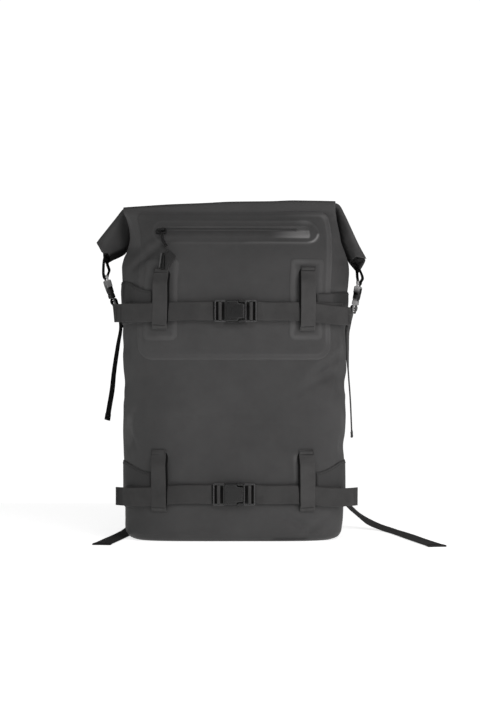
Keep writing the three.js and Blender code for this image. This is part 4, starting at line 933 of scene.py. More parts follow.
def zip_pull():
    mesh = Mesh()
    put = laid(TAB_S, TAB_Z, 5.6)
    blade = fillet([(-1.8, 14.6), (2.2, 12.2), (11.2, 3.4), (3.4, -9.0), (0.2, -15.2), (-3.2, -16.2), (-4.0, -2.0), (-4.4, 9.0)], [1.5, 3, 2.5, 5, 2, 1.2, 3, 2])
    moulded(mesh, blade, [fillet([(-1.4, 11.4), (0.6, 10.2), (0.2, 7.8), (-1.9, 8.6)], 0.8)], 0.3, 2.3, 0.7, put)
    moulded(mesh, fillet([(0.6, 9.2), (8.2, 2.8), (1.6, -7.4), (-1.4, -12.2), (-2.2, -2.0), (-2.4, 6.4)], 1.6), [], 2.0, 2.75, 0.4, put)
    grip = fillet([(-5.0, 8.2), (-4.5, -1.5), (-4.8, -15.6), (-8.6, -15.8), (-9.2, -13.0), (-7.4, 7.4)], 1.3)
    moulded(mesh, grip, [], -0.6, 2.9, 1.1, put, mat=1)
    moulded(mesh, fillet([(-5.6, -11.2), (-5.8, -15.2), (0.4, -15.4), (0.8, -11.4)], 0.8), [], 0.0, 1.8, 0.5, put, mat=1)
    # a thin strip along the grip's left side, given a painted highlight, stands in for a glint on the grip's edge
    first = mesh.n
    moulded(mesh, fillet([(-8.3, 8.0), (-10.2, -12.8), (-12.0, -12.6), (-10.1, 8.2)], 0.5), [], -0.4, 2.2, 0.4, put)
    mesh.mark("painted_highlight", np.arange(first, mesh.n), np.full(mesh.n - first, 0.10))
    tab = mesh.build("zip_pull_grip", [M_RUBBER, M_GRIP], ["zip_pull_tab"], weighted=True)
    cord = Mesh()
    line = cord_path()
    tube(cord, line, CORD_D / 2, 0, 12)
    ob = cord.build("zip_pull_loop", [M_CORD], ["zip_pull_cord"])
    tuple(on_bag(CORD[0][0], CORD[0][1] + 1.5, CORD_OFF) * 0.001)


# ------------------------------------------------------------------ lash loops and their patches
PATCH_LOW, PATCH_HIGH, PATCH_HALF = 273.0, 380.5, 21.6
LOOPS = [("upper_left", -99.5, 286, 369.5, 3.2, 9.4), ("upper_right", 99, 284, 371.5, 3.2, 9.4), ("lower_left", -101.4, 40, 124, 0.5, 6.2), ("lower_right", 98.6, 40, 124, 0.5, 6.2)]


def patch(side, s0):
    mesh = Mesh()
    s = np.arange(-PATCH_HALF - 4, PATCH_HALF + 4.01, 0.75)
    z = np.concatenate([np.arange(PATCH_LOW - 4, PATCH_LOW + 12, 0.75), np.arange(PATCH_LOW + 12, PATCH_HIGH - 12, 2.0), np.arange(PATCH_HIGH - 12, PATCH_HIGH + 4.01, 0.75)])
    S, Z = np.meshgrid(s, z)
    d = rounded_rect(S, Z, PATCH_HALF, PATCH_LOW, PATCH_HIGH, 7.0, 6.0)
    under = panel_level(S + s0, Z)
    level = under + lerp(-0.8, 0.6, smooth(4.6, -0.6, d)) + bead(d + 2.8, 3.2, 0.4)
    a, _ = mesh.sheet(on_bag(S + s0, Z, level), on_bag(S + s0, Z, under - 0.9), np.stack([S + s0, Z], -1))
    # painted highlights on the patch: along its rib, more on the inner side and low down, a lit line by the right
    # patch's inner rib, and light on the slope of its top edge
    inner = smooth(-8, 8, -S if s0 > 0 else S)
    lit = (0.14 if s0 > 0 else 0.0) * np.exp(-((S + 15.2) / 2.2) ** 2) * smooth(PATCH_LOW + 8, PATCH_LOW + 16, Z) * (1 - smooth(PATCH_HIGH - 16, PATCH_HIGH - 9, Z))
    mesh.mark("painted_highlight", a, lit + np.exp(-np.abs((d + 2.6) / 3.3) ** 2.5) * ((0.02 + 0.05 * inner if s0 < 0 else 0.08 + 0.05 * inner) + 0.045 * smooth(300, 270, Z)) + (0.05 if s0 < 0 else 0.11) * np.exp(-((d - 1.2) / 2.2) ** 2) * smooth(PATCH_HIGH - 8, PATCH_HIGH - 1, Z))
    return mesh.build(f"loop_patch_{side}_cloth", [M_PANEL], [f"loop_patch_{side}"])


def lash_loop(name, s0, low, high, seat, bow):
    mesh = Mesh()
    z = np.concatenate([np.linspace(low, low + 9, 16), np.linspace(low + 9, high - 26, 24)[1:], np.linspace(high - 26, high, 26)[1:]])
    free = smooth(low + 1, low + 7, z) * (1 - smooth(high - 24, high - 7, z))
    rise = seat + (bow - 0.5 - seat) * free
    inner = 1.0 if s0 < 0 else -1.0
    side = np.full(len(z), s0) + 0.5 * np.sin((z - low) / 30)
    path = on_bag(side, z, rise + 0.75)
    wide = np.array([local_frame(s0, q)[0] + inner * (0.03 + 0.09 * f) * local_frame(s0, q)[2] for q, f in zip(z, free)])
    p, t, w, n, run, T = webbing(mesh, path, wide, 20.5, 1.4, hem=(6.0, 0))
    out = np.where((np.sum(n * normal(np.full(len(z), s0), z), -1) > 0)[:, None], n, -n)
    # a dark strip under the loop's inner edge, made black with the painted shade mark, stands in for the shadow in the
    # gap under the lifted edge
    cut = (z > low + 8) & (z < high - 5)
    show = (1.0 + 1.3 * smooth(low + 22, low + 40, z[cut])) * smooth(0, 5, z[cut] - low - 8) * smooth(0, 5, high - 5 - z[cut])
    ply = p[cut] + w[cut] * (inner * (6.0 + show))[:, None] - out[cut] * 1.7
    start = mesh.n
    webbing(mesh, ply, w[cut], 9.0, 0.9)
    mesh.mark("painted_shade", np.arange(start, mesh.n), 1.0)
    # tacks at the top seam, and the lower end turned under
    a, u, nn = local_frame(s0, high)
    for k in (2.0, 7.2):
        c = on_bag(s0 - 9.4, high - k, seat + 1.5)
        stitches(mesh, np.linspace(c, c + a * 18.8, 14), nn, 1, pitch=1.35, size=1.35, r=0.42)
    for e in (-9.0, 9.0):
        pts = on_bag(np.full(10, s0 + e), np.linspace(high - 7.2, high - 2.0, 10), seat + 1.5)
        stitches(mesh, pts, nn, 1, pitch=1.35, size=1.35, r=0.38)
    c = p[10] + out[10] * 1.1
    stitches(mesh, np.linspace(c - w[10] * 9.3, c + w[10] * 9.3, 14), out[10], 1, pitch=1.6, size=1.5, r=0.34)
    # painted light and shade: the right loops take the lighter copy and the lower left loop the darker copy of the same
    # webbing
    return mesh.build(f"lash_loop_{name}", [(M_WEB_SHADED if high < 200 else M_WEB) if s0 < 0 else M_WEB_LIT, M_THREAD], [f"loop_{name}"])


# ------------------------------------------------------------------ side wings, straps and clips
WINGS = {"upper": (111, 245, 296, 338, 293, 352, 3.5), "lower": (112, 245, 47, 93, 44, 107, 0.7)}


def wing_off(name, s):
    return lerp(WINGS[name][6], 0.75, smooth(134, 148, np.abs(s)))


def wing(name, side, sign):
    front, back, low_f, high_f, low_b, high_b, lift = WINGS[name]
    mesh = Mesh()
    t = np.concatenate([np.linspace(0, 0.4, 60), np.linspace(0.4, 1, 40)[1:]])
    q = np.linspace(0, 1, 40)
    T, Q = np.meshgrid(t, q)
    S = lerp(front, back, T)
    e = smooth(0, 0.36, T)
    low, high = lerp(low_f, low_b, e), lerp(high_f - (3.5 if (name, side) == ("upper", "right") else 0.0), high_b - (14.0 if (name, side) == ("upper", "right") else 0.0), e)
    Z = lerp(low, high, Q)
    edge = np.minimum(np.minimum(Z - low, high - Z), np.minimum(S - front, back - S))
    level = wing_off(name, S) + 0.9 - 0.55 * smooth(2.4, 0.0, edge) + 0.25 * np.exp(-((edge - 3.2) / 1.2) ** 2)
    O, I = on_bag(sign * S, Z, level), on_bag(sign * S, Z, np.minimum(level - 0.7, wing_off(name, S) - 0.2))
    a, _ = mesh.sheet(O, I, np.stack([sign * S, Z], -1))
    # painted light and shade on the wings: the upper right one darker at its outer top and lighter on its inner part,
    # the lower right one lighter, the left ones darker with a painted shade line near the upper one's outer top, and a
    # lit spot on the lower left one
    if (name, side) == ("upper", "right"):
        mesh.mark("painted_shade", a, smooth(133, 135.5, S) * smooth(318, 322, Z) * (0.2 + 0.26 * smooth(136, 150, S)))
        mesh.mark("painted_highlight", a, 0.07 * (1 - smooth(131, 134, S)))
    elif (name, side) == ("lower", "right"):
        mesh.mark("painted_highlight", a, np.full(S.shape, 0.045))
    elif sign < 0:
        mesh.mark("painted_shade", a, 0.12 + (0.5 if name == "upper" else 0.0) * np.exp(-((S - 161.5) / 3.0) ** 2) * smooth(high - 34, high - 22, Z))
        if name == "lower":
            mesh.mark("painted_highlight", a, 0.34 * smooth(147, 156, S) * np.exp(-((Z - 73) / 6.0) ** 2))
    # stitched edges
    high_b = high_b - (14.0 if (name, side) == ("upper", "right") else 0.0)
    for zz in (lambda e0: lerp(low_f, low_b, e0) + 3.4, lambda e0: lerp(high_f, high_b, e0) - 3.4):
        ss = np.linspace(front + 4, back - 4, 120)
        zr = zz(smooth(0, 0.36, (ss - front) / (back - front)))
        stitches(mesh, on_bag(sign * ss, zr, wing_off(name, ss) + 1.15), normal(sign * ss, zr), 1, pitch=3.2, size=2.3, r=0.22)
    return mesh.build(f"wing_{name}_{side}_cloth", [M_WING, M_THREAD], [f"wing_{name}_{side}"])


# per belt: height, buckle middle, stand-off of main strand, tail and bar plate, back of the buckle, lift and droop of each tail
BELTS = {
    "upper": dict(z=310, mid=2.1, main=6.1, tail=7.8, plate=8.9, base=3.2, lift=(9.5, 2.5), droop=(1.5, 5.0), short=(3.4, 4.0), rise=0.8),
    "lower": dict(z=61, mid=0.1, main=3.0, tail=4.7, plate=5.8, base=1.1, lift=(9, 16), droop=(1.5, 1.5), short=(2.2, 1.0), rise=2.9),
}
MAIN_STOPS = [150, 146, 142, 138, 134, 129, 124, 118, 112, 104, 92, 75, 55, 36]
TAIL_STOPS = [38, 56, 76, 93, 105, 113, 120, 127, 134, 141, 148, 155, 162]
B_PLATE = 2.4


def belt(name):
    b = BELTS[name]
    face = float(on_bag(0, b["z"], 0)[1])

    def high(s):
        return b["z"] + b["rise"] * float(1 - smooth(70, 132, abs(s)))
    for side, sign, lift, droop, short in (("left", -1, b["lift"][0], b["droop"][0], b["short"][0]), ("right", 1, b["lift"][1], b["droop"][1], b["short"][1])):
        path = []
        for s in MAIN_STOPS:
            p = on_bag(sign * s, b["z"], min(b["main"], float(wing_off(name, s)) + 1.75 + WEB_T / 2))
            path.append((p[0], p[1], high(s)))
        top = b["plate"] + B_PLATE + 0.35 + WEB_T / 2
        for u, w in [(31, b["main"]), (20.5, b["main"]), (19.4, b["main"] + 1.1), (19.4, top - 0.8), (19.9, top), (21.9, top), (22.45, top - 0.8), (22.45, b["tail"] + 1), (23.5, b["tail"]), (31, b["tail"])]:
            path.append((b["mid"] + sign * u, face - w, high(u)))
        for s in TAIL_STOPS[:-2] + [155 - short / 2, 162 - short]:
            p = on_bag(sign * s, b["z"], b["tail"] + lift * max(0, (s - 112) / 50) ** 1.5)
            path.append((p[0], p[1], high(s) - droop * float(smooth(70, 160, s)) - 0.4))
        mesh = Mesh()
        line, idx = catmull(np.array(path, float), 1.8, 3)
        slack = 0.35 * np.sin(line[:, 0] / 15 + sign) * smooth(0, 2, idx) * smooth(32, 44, np.abs(line[:, 0] - b["mid"]))
        line = line + np.column_stack([np.zeros(len(idx)), -0.25 * np.abs(np.sin(idx * 0.9)) * (idx > 24), slack])
        tilt = np.where(idx > 24, 0.03 * np.sin(idx * 0.8 + sign), 0.0)
        p, t, w, n, run, T = webbing(mesh, line, np.column_stack([np.zeros(len(idx)), tilt, np.ones(len(idx))]), WEB_W, WEB_T, hem=(0, 9.0), slant=0.16 if (name, side) == ("upper", "left") else 0.0)
        # painted shade: near black under the clip's bars, darker towards the outer ends and more on the left, on the
        # upper right strap's main strand and near its end, and where the left straps pass the bag's edge
        inside = (np.abs(line[:, 0] - b["mid"]) < 29.4) & (face - line[:, 1] < b["plate"] + 1.2)
        strap_shade = np.maximum(inside * 0.97, (0.19 if sign < 0 else 0.02) * smooth(15, 70, np.abs(line[:, 0])))
        if sign > 0 and name == "upper":
            strap_shade = np.maximum(strap_shade, 0.22 * (idx < 13.5) + 0.10 * (idx > 24) * smooth(118, 134, line[:, 0]))
        if sign < 0:
            leave = (idx > 24) * (0.55 * np.exp(-((line[:, 0] + 153.3) / 1.1) ** 2) if name == "upper" else 0.42 * smooth(-149, -152, line[:, 0]))
            strap_shade = np.maximum(strap_shade, leave)
        mesh.mark("painted_shade", np.arange(mesh.n).reshape(len(line), -1), np.broadcast_to(strap_shade[:, None], (len(line), len(WEB_RING))))
        # hem stitches at the free end, seam stitches at the sewn end
        for at, off in ((run[-1] - 7.0, 1.25), (run[-1] - 2.4, 1.25), (3.0, 0.7), (9.0, 0.7)):
            k = int(np.argmin(np.abs(run - at)))
            for f in (1, -1):
                c = p[k] + n[k] * off * f
                stitches(mesh, np.linspace(c - w[k] * 11, c + w[k] * 11, 12), n[k] * f, 1, pitch=2.2, size=1.7, r=0.3)
        mesh.build(f"compression_strap_{name}_{side}", [M_WEB, M_THREAD], [f"strap_{name}_{side}"])

    def put(P):
        return np.stack([b["mid"] + P[..., 0], face - P[..., 2], high(0) + P[..., 1]], -1)
    clip(name, put, b["base"], b["plate"])


def ladder(mesh, sign, put, z0):
    """Two-bar end of a clip: a frame with a rounded middle bar."""
    hh = 14.6
    out = fillet([(sign * 12.4, -hh), (sign * 28.3, -hh), (sign * 28.3, hh), (sign * 12.4, hh)], 2.2, 6)
    holes = [fillet([(sign * a, -h), (sign * c, -h), (sign * c, h), (sign * a, h)], 0.8) for a, c, h in ((21.8, 26.5, 12.6), (14.5, 20.1, 12.5))]
    moulded(mesh, out, holes, z0, z0 + 2.8, 0.8, put, steps=4, highlight_amount=0.75)


def clip(name, put, z_base, z_plate):
    top = z_plate + 5.0
    mesh = Mesh()
    ladder(mesh, -1, put, z_plate)
    body = fillet([(-13.6, -14.3), (2.6, -14.5), (4.6, -10.9), (12.2, -10.2), (12.2, 10.2), (4.6, 10.9), (2.6, 14.5), (-13.6, 14.3)], [2.2, 1.6, 1.0, 1.6, 1.6, 1.0, 1.6, 2.2], 5)
    moulded(mesh, body, [], z_base, top, 2.1, put, steps=6, highlight_amount=0.06)
    moulded(mesh, fillet([(-10.4, -10.6), (9.0, -8.4), (9.0, 8.4), (-10.4, 10.6)], 2.6, 5), [], top - 0.8, top + 0.3, 0.28, put, highlight_amount=0.12)
    mesh.build(f"clip_socket_{name}", [M_PLASTIC], [f"buckle_{name}_socket"], weighted=True)
    mesh = Mesh()
    ladder(mesh, 1, put, z_plate)
    for y in (-1, 1):
        arm = fillet([(14.2, y * 11.7), (6.2, y * 11.6), (3.9, y * 12.4), (3.4, y * 13.7), (4.6, y * 15.1), (8.0, y * 15.0), (11.6, y * 13.7), (14.2, y * 14.4)], 0.8)
        moulded(mesh, arm, [], z_base + 1.4, top - 1.2, 0.9, put, steps=4, highlight_amount=0.14)
        for k in range(3):
            x = 5.0 + 1.5 * k
            moulded(mesh, fillet([(x, y * 14.3), (x + 0.7, y * 14.3), (x + 0.7, y * 15.5), (x, y * 15.5)], 0.2), [], z_base + 2.0, top - 1.8, 0.25, put)
    mesh.build(f"clip_plug_{name}", [M_PLASTIC], [f"buckle_{name}_plug"], weighted=True)


# ------------------------------------------------------------------ rolled collar
def roll_frames(spacing=2.2):
    line, idx = catmull(ROLL[:, :3], spacing, 4)
    k = np.arange(len(ROLL))
    tilt, lean, wide, thick = (np.interp(idx, k, ROLL[:, c]) for c in (3, 4, 5, 6))
    for _ in range(5):
        for v in (tilt, lean, wide, thick):
            v[1:-1] = (v[:-2] + 2 * v[1:-1] + v[2:]) / 4
    t = unit(np.gradient(line, axis=0))
    a, b = np.radians(tilt)[:, None], np.radians(lean)
    l = np.column_stack([np.sin(b), np.zeros(len(b)), -np.cos(b)]) * np.cos(a) + np.array([0, 1.0, 0]) * np.sin(a)
    n = unit(np.cross(t, l))
    return line, t, l, n, wide, thick


def rolled_collar():
    line, t, l, n, wide, thick = roll_frames()
    K = 150
    turn = np.linspace(0, ROLL_TURNS, K)
    q = math.pi + 2 * math.pi * turn
    inset = ROLL_PITCH * turn
    h, flat = ROLL_PLIES - inset, ROLL_HALF - ROLL_PLIES - 0.25 * inset
    c, s = np.cos(q), np.sin(q)
    x, y = flat * np.tanh(2.3 * c) / math.tanh(2.3) + h * c, h * s
    mid = np.column_stack([x, y])
    tang = unit(np.gradient(mid, axis=0))
    side = np.column_stack([-tang[:, 1], tang[:, 0]])
    ply = ROLL_PLY * np.minimum(1, 0.35 + np.minimum(np.arange(K), np.arange(K)[::-1]) / 3)
    ring = np.vstack([mid + side * ply[:, None] / 2, (mid - side * ply[:, None] / 2)[::-1]])
    run = np.concatenate([[0], np.cumsum(np.linalg.norm(np.diff(line, axis=0), axis=1))])
    left, right = run, run[-1] - run
    arc = np.concatenate([turn, turn[::-1]])
    at = ring[:, 0] / ROLL_HALF
    back = np.tanh(ring[:, 1] / 1.5)
    # the closure straps draw the back of each end into a point and leave the hollow of the roll gaping in front
    front = ((1 - back) / 2)[None]
    near_l, near_r = (1 - smooth(0, 24, left))[:, None], (1 - smooth(0, 30, right))[:, None]
    low = smooth(-0.15, 0.45, at)[None]
    drawn = near_l[..., None] * ((front * (1.5 - 8.0 * low) + (1 - front) * (-2.5 + 4.0 * low)))[..., None] * np.array([-0.72, 0, -0.69])
    drawn = drawn + near_r[..., None] * ((1 - np.abs(at))[None] * (front * -5.5 + (1 - front) * 17.0))[..., None] * np.array([-0.12, 0, -0.99])
    gape = 1 + 0.25 * (1 - smooth(0, 22, left)) + 0.5 * (1 - smooth(0, 34, right))
    pinch = 1 - ((0.55 * near_l + 0.75 * near_r) * (np.abs(at) ** 2)[None])
    bend = np.exp(-((run - np.interp(-148, line[:, 0], run)) / 22) ** 2) + np.exp(-((run - np.interp(146, line[:, 0], run)) / 22) ** 2)
    X = ring[None, :, 0] * (wide / ROLL_HALF)[:, None]
    Y = ring[None, :, 1] * (thick / ROLL_PLIES * gape)[:, None] * pinch
    wing_l, wing_r = 1 - smooth(38, 62, left), 1 - smooth(60, 84, right)
    # the left end's lower part folds back under itself
    Y = Y + (wing_l * 7.0)[:, None] * (smooth(0.45, 0.95, at))[None]
    wob = 0.5 * np.sin(run[:, None] / 7.5 + 5.0 * arc[None]) * bend[:, None] + 0.25 * np.sin(run[:, None] / 23 + 2.6 * arc[None])
    wob = wob + wing_l[:, None] * 0.7 * np.sin(at * 4.2 + run[:, None] / 16)
    P = line[:, None] + l[:, None] * X[..., None] + n[:, None] * (Y + wob)[..., None] + drawn
    mesh = Mesh()
    sec = np.concatenate([[0], np.cumsum(np.linalg.norm(np.diff(ring, axis=0), axis=1))])
    UV = np.stack([np.broadcast_to(run[:, None], P.shape[:2]), np.broadcast_to(sec[None], P.shape[:2])], -1)
    i = mesh.index(P, UV)
    mesh.skin(i, 0, wrap=True)
    N = 2 * K
    for r in (i[0], i[-1]):
        mesh.add([(r[k], r[k + 1], r[N - 2 - k], r[N - 1 - k]) for k in range(K - 1)], 0)
    # painted shade on the roll's ends: in the hollow between the plies, on the lower part of each end, a painted shadow
    # in the gap beside the bag's front at the right, less near the left edge and more low on the left end; and a
    # painted highlight on the right end's outer face
    deep = np.clip(arc - 0.9, 0, 0.3)[None] / 0.3
    painted_shade = np.maximum(wing_l[:, None] * smooth(0.50, 0.62, at)[None], np.maximum((wing_l + wing_r)[:, None] * deep, wing_r[:, None] * smooth(0.35, 0.8, at)[None]))
    zs = np.arange(330, 452, 2.0)
    face = np.array([on_bag(np.linspace(110, 190, 81), np.full(81, q))[:, 0].max() for q in zs])
    gap = 1 - smooth(2.4, 5.2, P[..., 0] * 0.99 - np.interp(P[..., 2], zs, face))
    painted_shade = np.maximum(painted_shade * 0.76, 0.86 * gap * wing_r[:, None] * smooth(120, 134, P[..., 0]))
    painted_shade = painted_shade * (1 - 0.55 * wing_l[:, None] * np.exp(-((P[..., 0] + 148) / 7) ** 2)) + 0.2 * wing_l[:, None] * smooth(411, 399, P[..., 2]) * smooth(-156, -162, P[..., 0])
    mesh.mark("painted_shade", i, np.clip(painted_shade, 0, 1))
    mesh.mark("painted_highlight", i, 0.2 * wing_r[:, None] * smooth(151, 160, P[..., 0]) * np.exp(-((P[..., 2] - 415) / 11) ** 2))
    return mesh.build("rolled_collar", [M_FABRIC], ["roll_top"])


# ------------------------------------------------------------------ side closures
CLOSURES = [
    dict(side="left", sign=-1, top=(-178.5, 362.8), foot=(-165, 319.6), seat=(-178.6, 383.2), lean=(2.0, -4.0), into=(3.2, 5.6), bow=(2.4, -2.6, -6.2), twist=[(-7, 0), (-3, 0.2)], painted_light=[(-1, .62), (7, .58), (8.4, .30), (16, .24), (18, 0), (34, 0), (37, .22), (46, .26)], seam=[(-157.2, 305), (-155.0, 290)],
         tail=[(-160.0, 305), (-158.0, 290), (-161.8, 266), (-167.4, 228), (-170.0, 203), (-174.2, 178), (-176.8, 161)]),
    dict(side="right", sign=1, top=(173.2, 354.4), foot=(165, 309.9), seat=(172.6, 370.0), lean=(-1.9, -1.2), into=(-2.6, 6.4), bow=(4.8, -0.95, -2.6), twist=[(-8, 0), (-6.2, 0.06), (-5.4, 0.19), (-4.6, 0.17), (-4, 0.10), (-3.1, -0.10)], painted_light=[(-1, .50), (8.6, .45), (9.6, 0), (26.5, 0), (28, .42), (37, .40), (39, .12), (46, .12)], seam=[(157.4, 298), (154.9, 284)],
         tail=[(160.8, 298), (157.3, 284), (157.2, 260), (159.0, 228), (161.8, 189), (164.0, 137)]),
]


def closure(c):
    top, foot = np.array(c["top"], float), np.array(c["foot"], float)
    t = unit(foot - top)
    n = np.array([-t[1], t[0]]) * c["sign"]

    def at(a, w):
        return top + t * a + n * w

    turn = math.tan(math.radians(12))

    def put(P):
        xz = top + P[..., 0:1] * t + P[..., 2:3] * n
        y = P[..., 1] * (-c["sign"])
        return np.stack([xz[..., 0] + c["sign"] * y * turn, y, xz[..., 1]], -1)
    half, slot = 13.0, 10.6

    # painted reflections on the side clips: paler bands along each clip where its gloss would show the white surround
    def scuff_and_reflection(mesh):
        V = np.concatenate(mesh.v)
        run = (V[:, 0] - c["sign"] * V[:, 1] * turn - top[0]) * t[0] + (V[:, 2] - top[1]) * t[1]
        mesh.mark("painted_highlight", np.arange(len(V)), np.interp(run, *np.array(c["painted_light"]).T))
    mesh = Mesh()
    moulded(mesh, fillet([(-0.6, -half), (8.4, -half), (8.4, half), (-0.6, half)], 2.2, 5), [fillet([(3, -slot), (7, -slot), (7, slot), (3, slot)], 0.8)], -0.2, 2.5, 0.85, put)
    body = fillet([(7, -half), (16.6, -half), (18.2, -9.0), (26, -8.8), (26, 8.8), (18.2, 9.0), (16.6, half), (7, half)], [1.6, 1.4, 0.9, 1.4, 1.4, 0.9, 1.4, 1.6], 5)
    moulded(mesh, body, [], -2.8, 5.2, 1.7, put, steps=5)
    moulded(mesh, fillet([(9.6, -8.6), (23.4, -6.8), (23.4, 6.8), (9.6, 8.6)], 2.2, 5), [], 4.4, 5.55, 0.33, put)
    scuff_and_reflection(mesh)
    mesh.build(f"side_clip_socket_{c['side']}", [M_CLIP], [f"side_socket_{c['side']}"], weighted=True)
    mesh = Mesh()
    holes = [fillet([(a, -h), (b, -h), (b, h), (a, h)], 0.7) for a, b, h in ((33.5, 36.5, slot), (39.5, 43, slot - 0.1))]
    moulded(mesh, fillet([(31.5, -half), (45.6, -half), (45.6, half), (31.5, half)], 2.2, 5), holes, -0.1, 2.5, 0.8, put)
    moulded(mesh, fillet([(27.2, -half + 0.4), (33.2, -half), (33.2, half), (27.2, half - 0.4)], 1.2), [], -2.0, 4.4, 1.2, put, steps=4)
    for y in (-1, 1):
        arm = fillet([(28.2, y * 9.6), (20.6, y * 9.5), (18.8, y * 10.2), (18.6, y * 11.6), (19.8, y * 12.8), (24, y * 12.6), (28.2, y * 12.4)], 0.8)
        moulded(mesh, arm, [], -1.6, 4.0, 0.9, put, steps=4)
    scuff_and_reflection(mesh)
    mesh.build(f"side_clip_plug_{c['side']}", [M_CLIP], [f"side_plug_{c['side']}"], weighted=True)
    # strap: sewn to the wing, round the clip's bars and down to its free end
    flat = [np.array(p, float) for p in c["seam"][::-1]]
    flat += [at(*p) for p in ((47, -2.65), (36.2, -2.65), (35, -1.6), (35, 2.4), (35.9, 3.35), (40.3, 3.35), (41.2, 2.4), (41.2, -0.1), (42.3, -1.05), (47, -1.05))]
    flat += [np.array(p, float) for p in c["tail"]]
    flat = np.array(flat)
    line, idx = catmull(np.column_stack([flat[:, 0], np.zeros(len(flat)), flat[:, 1]]), 1.8, 3)
    mesh = Mesh()
    twist = c["sign"] * (turn + np.interp(idx - len(flat), *np.array(c["twist"]).T))
    wide = np.column_stack([twist, np.ones(len(idx)), np.zeros(len(idx))])
    p, tt, w, nn, run, T = webbing(mesh, line, wide, SIDE_WEB_W, WEB_T, hem=(0, 9.0))
    if c["sign"] > 0:
        # the half of the tail that lies against the bag stays in its shade
        shade = smooth(236, 256, line[:, 2]) * (idx > len(flat) - 6.5)
        mesh.mark("painted_shade", np.arange(mesh.n).reshape(len(line), -1), shade[:, None] * (WEB_RING[:, 0] < -0.3)[None])
    for a, off in ((run[-1] - 6.8, 1.25), (run[-1] - 2.2, 1.25), (4.0, 0.7), (12.0, 0.7)):
        k = int(np.argmin(np.abs(run - a)))
        for f in (1, -1):
            q = p[k] + nn[k] * off * f
            stitches(mesh, np.linspace(q - w[k] * 8.6, q + w[k] * 8.6, 10), nn[k] * f, 1, pitch=2.2, size=1.7, r=0.3)
    # painted shade: the left side strap takes the near black copy of the webbing, the right one the grey
    mesh.build(f"side_webbing_{c['side']}", [M_WEB_BLACK if c["sign"] < 0 else M_WEB, M_THREAD], [f"side_strap_{c['side']}"])
    # webbing loop between the roll's end and the clip
    seat, lean, into = (np.array(c[k], float) for k in ("seat", "lean", "into"))
    flat = [seat - lean + into, seat - lean, at(-5, c["bow"][0]), at(0, 3.35), at(3.1, 3.2), at(4.3, 2.2), at(4.3, 0.2), at(3.1, -0.8), at(0, c["bow"][1]), at(-5, c["bow"][2]), seat + lean, seat + lean + into]
    flat = np.array(flat)
    line, idx = catmull(np.column_stack([flat[:, 0], np.full(len(flat), 0.0), flat[:, 1]]), 1.2, 3)
    mesh = Mesh()
    webbing(mesh, line, (c["sign"] * turn, 1, 0), SIDE_WEB_W, WEB_T)
    mesh.build(f"roll_loop_{c['side']}_web", [M_WEB_BLACK], [f"roll_loop_{c['side']}"])


# ------------------------------------------------------------------ shoulder harness
PAD = np.array([(56, 73.6, 374, 50, 8), (57, 88, 377, 58, 10), (61, 108, 369, 62, 11), (69, 125, 342, 62, 11), (80, 132, 300, 60, 11), (91, 130, 252, 56, 11), (99, 122, 208, 50, 10), (104.8, 112.3, 165, 34, 7)], float)
LOCK = np.array([106.5, 109, 153.0])
SEAM_S, SEAM_Z = 106, 30
FLOOR_TAILS = {
    "left": [(-113, 114, 128), (-119, 119, 98), (-128, 121, 54), (-136, 114, 22), (-143, 96, 6), (-149, 62, 1.1), (-157, 0, .8), (-166, -62, .8), (-175.5, -128, .8)],
    "right": [(113, 114, 128), (124, 119, 100), (146, 121, 58), (171, 119, 28), (196.5, 108, 9.5), (219.5, 78, 1.8), (234.5, 22, .8), (249.5, -62, .8), (267, -152, .8)],
}


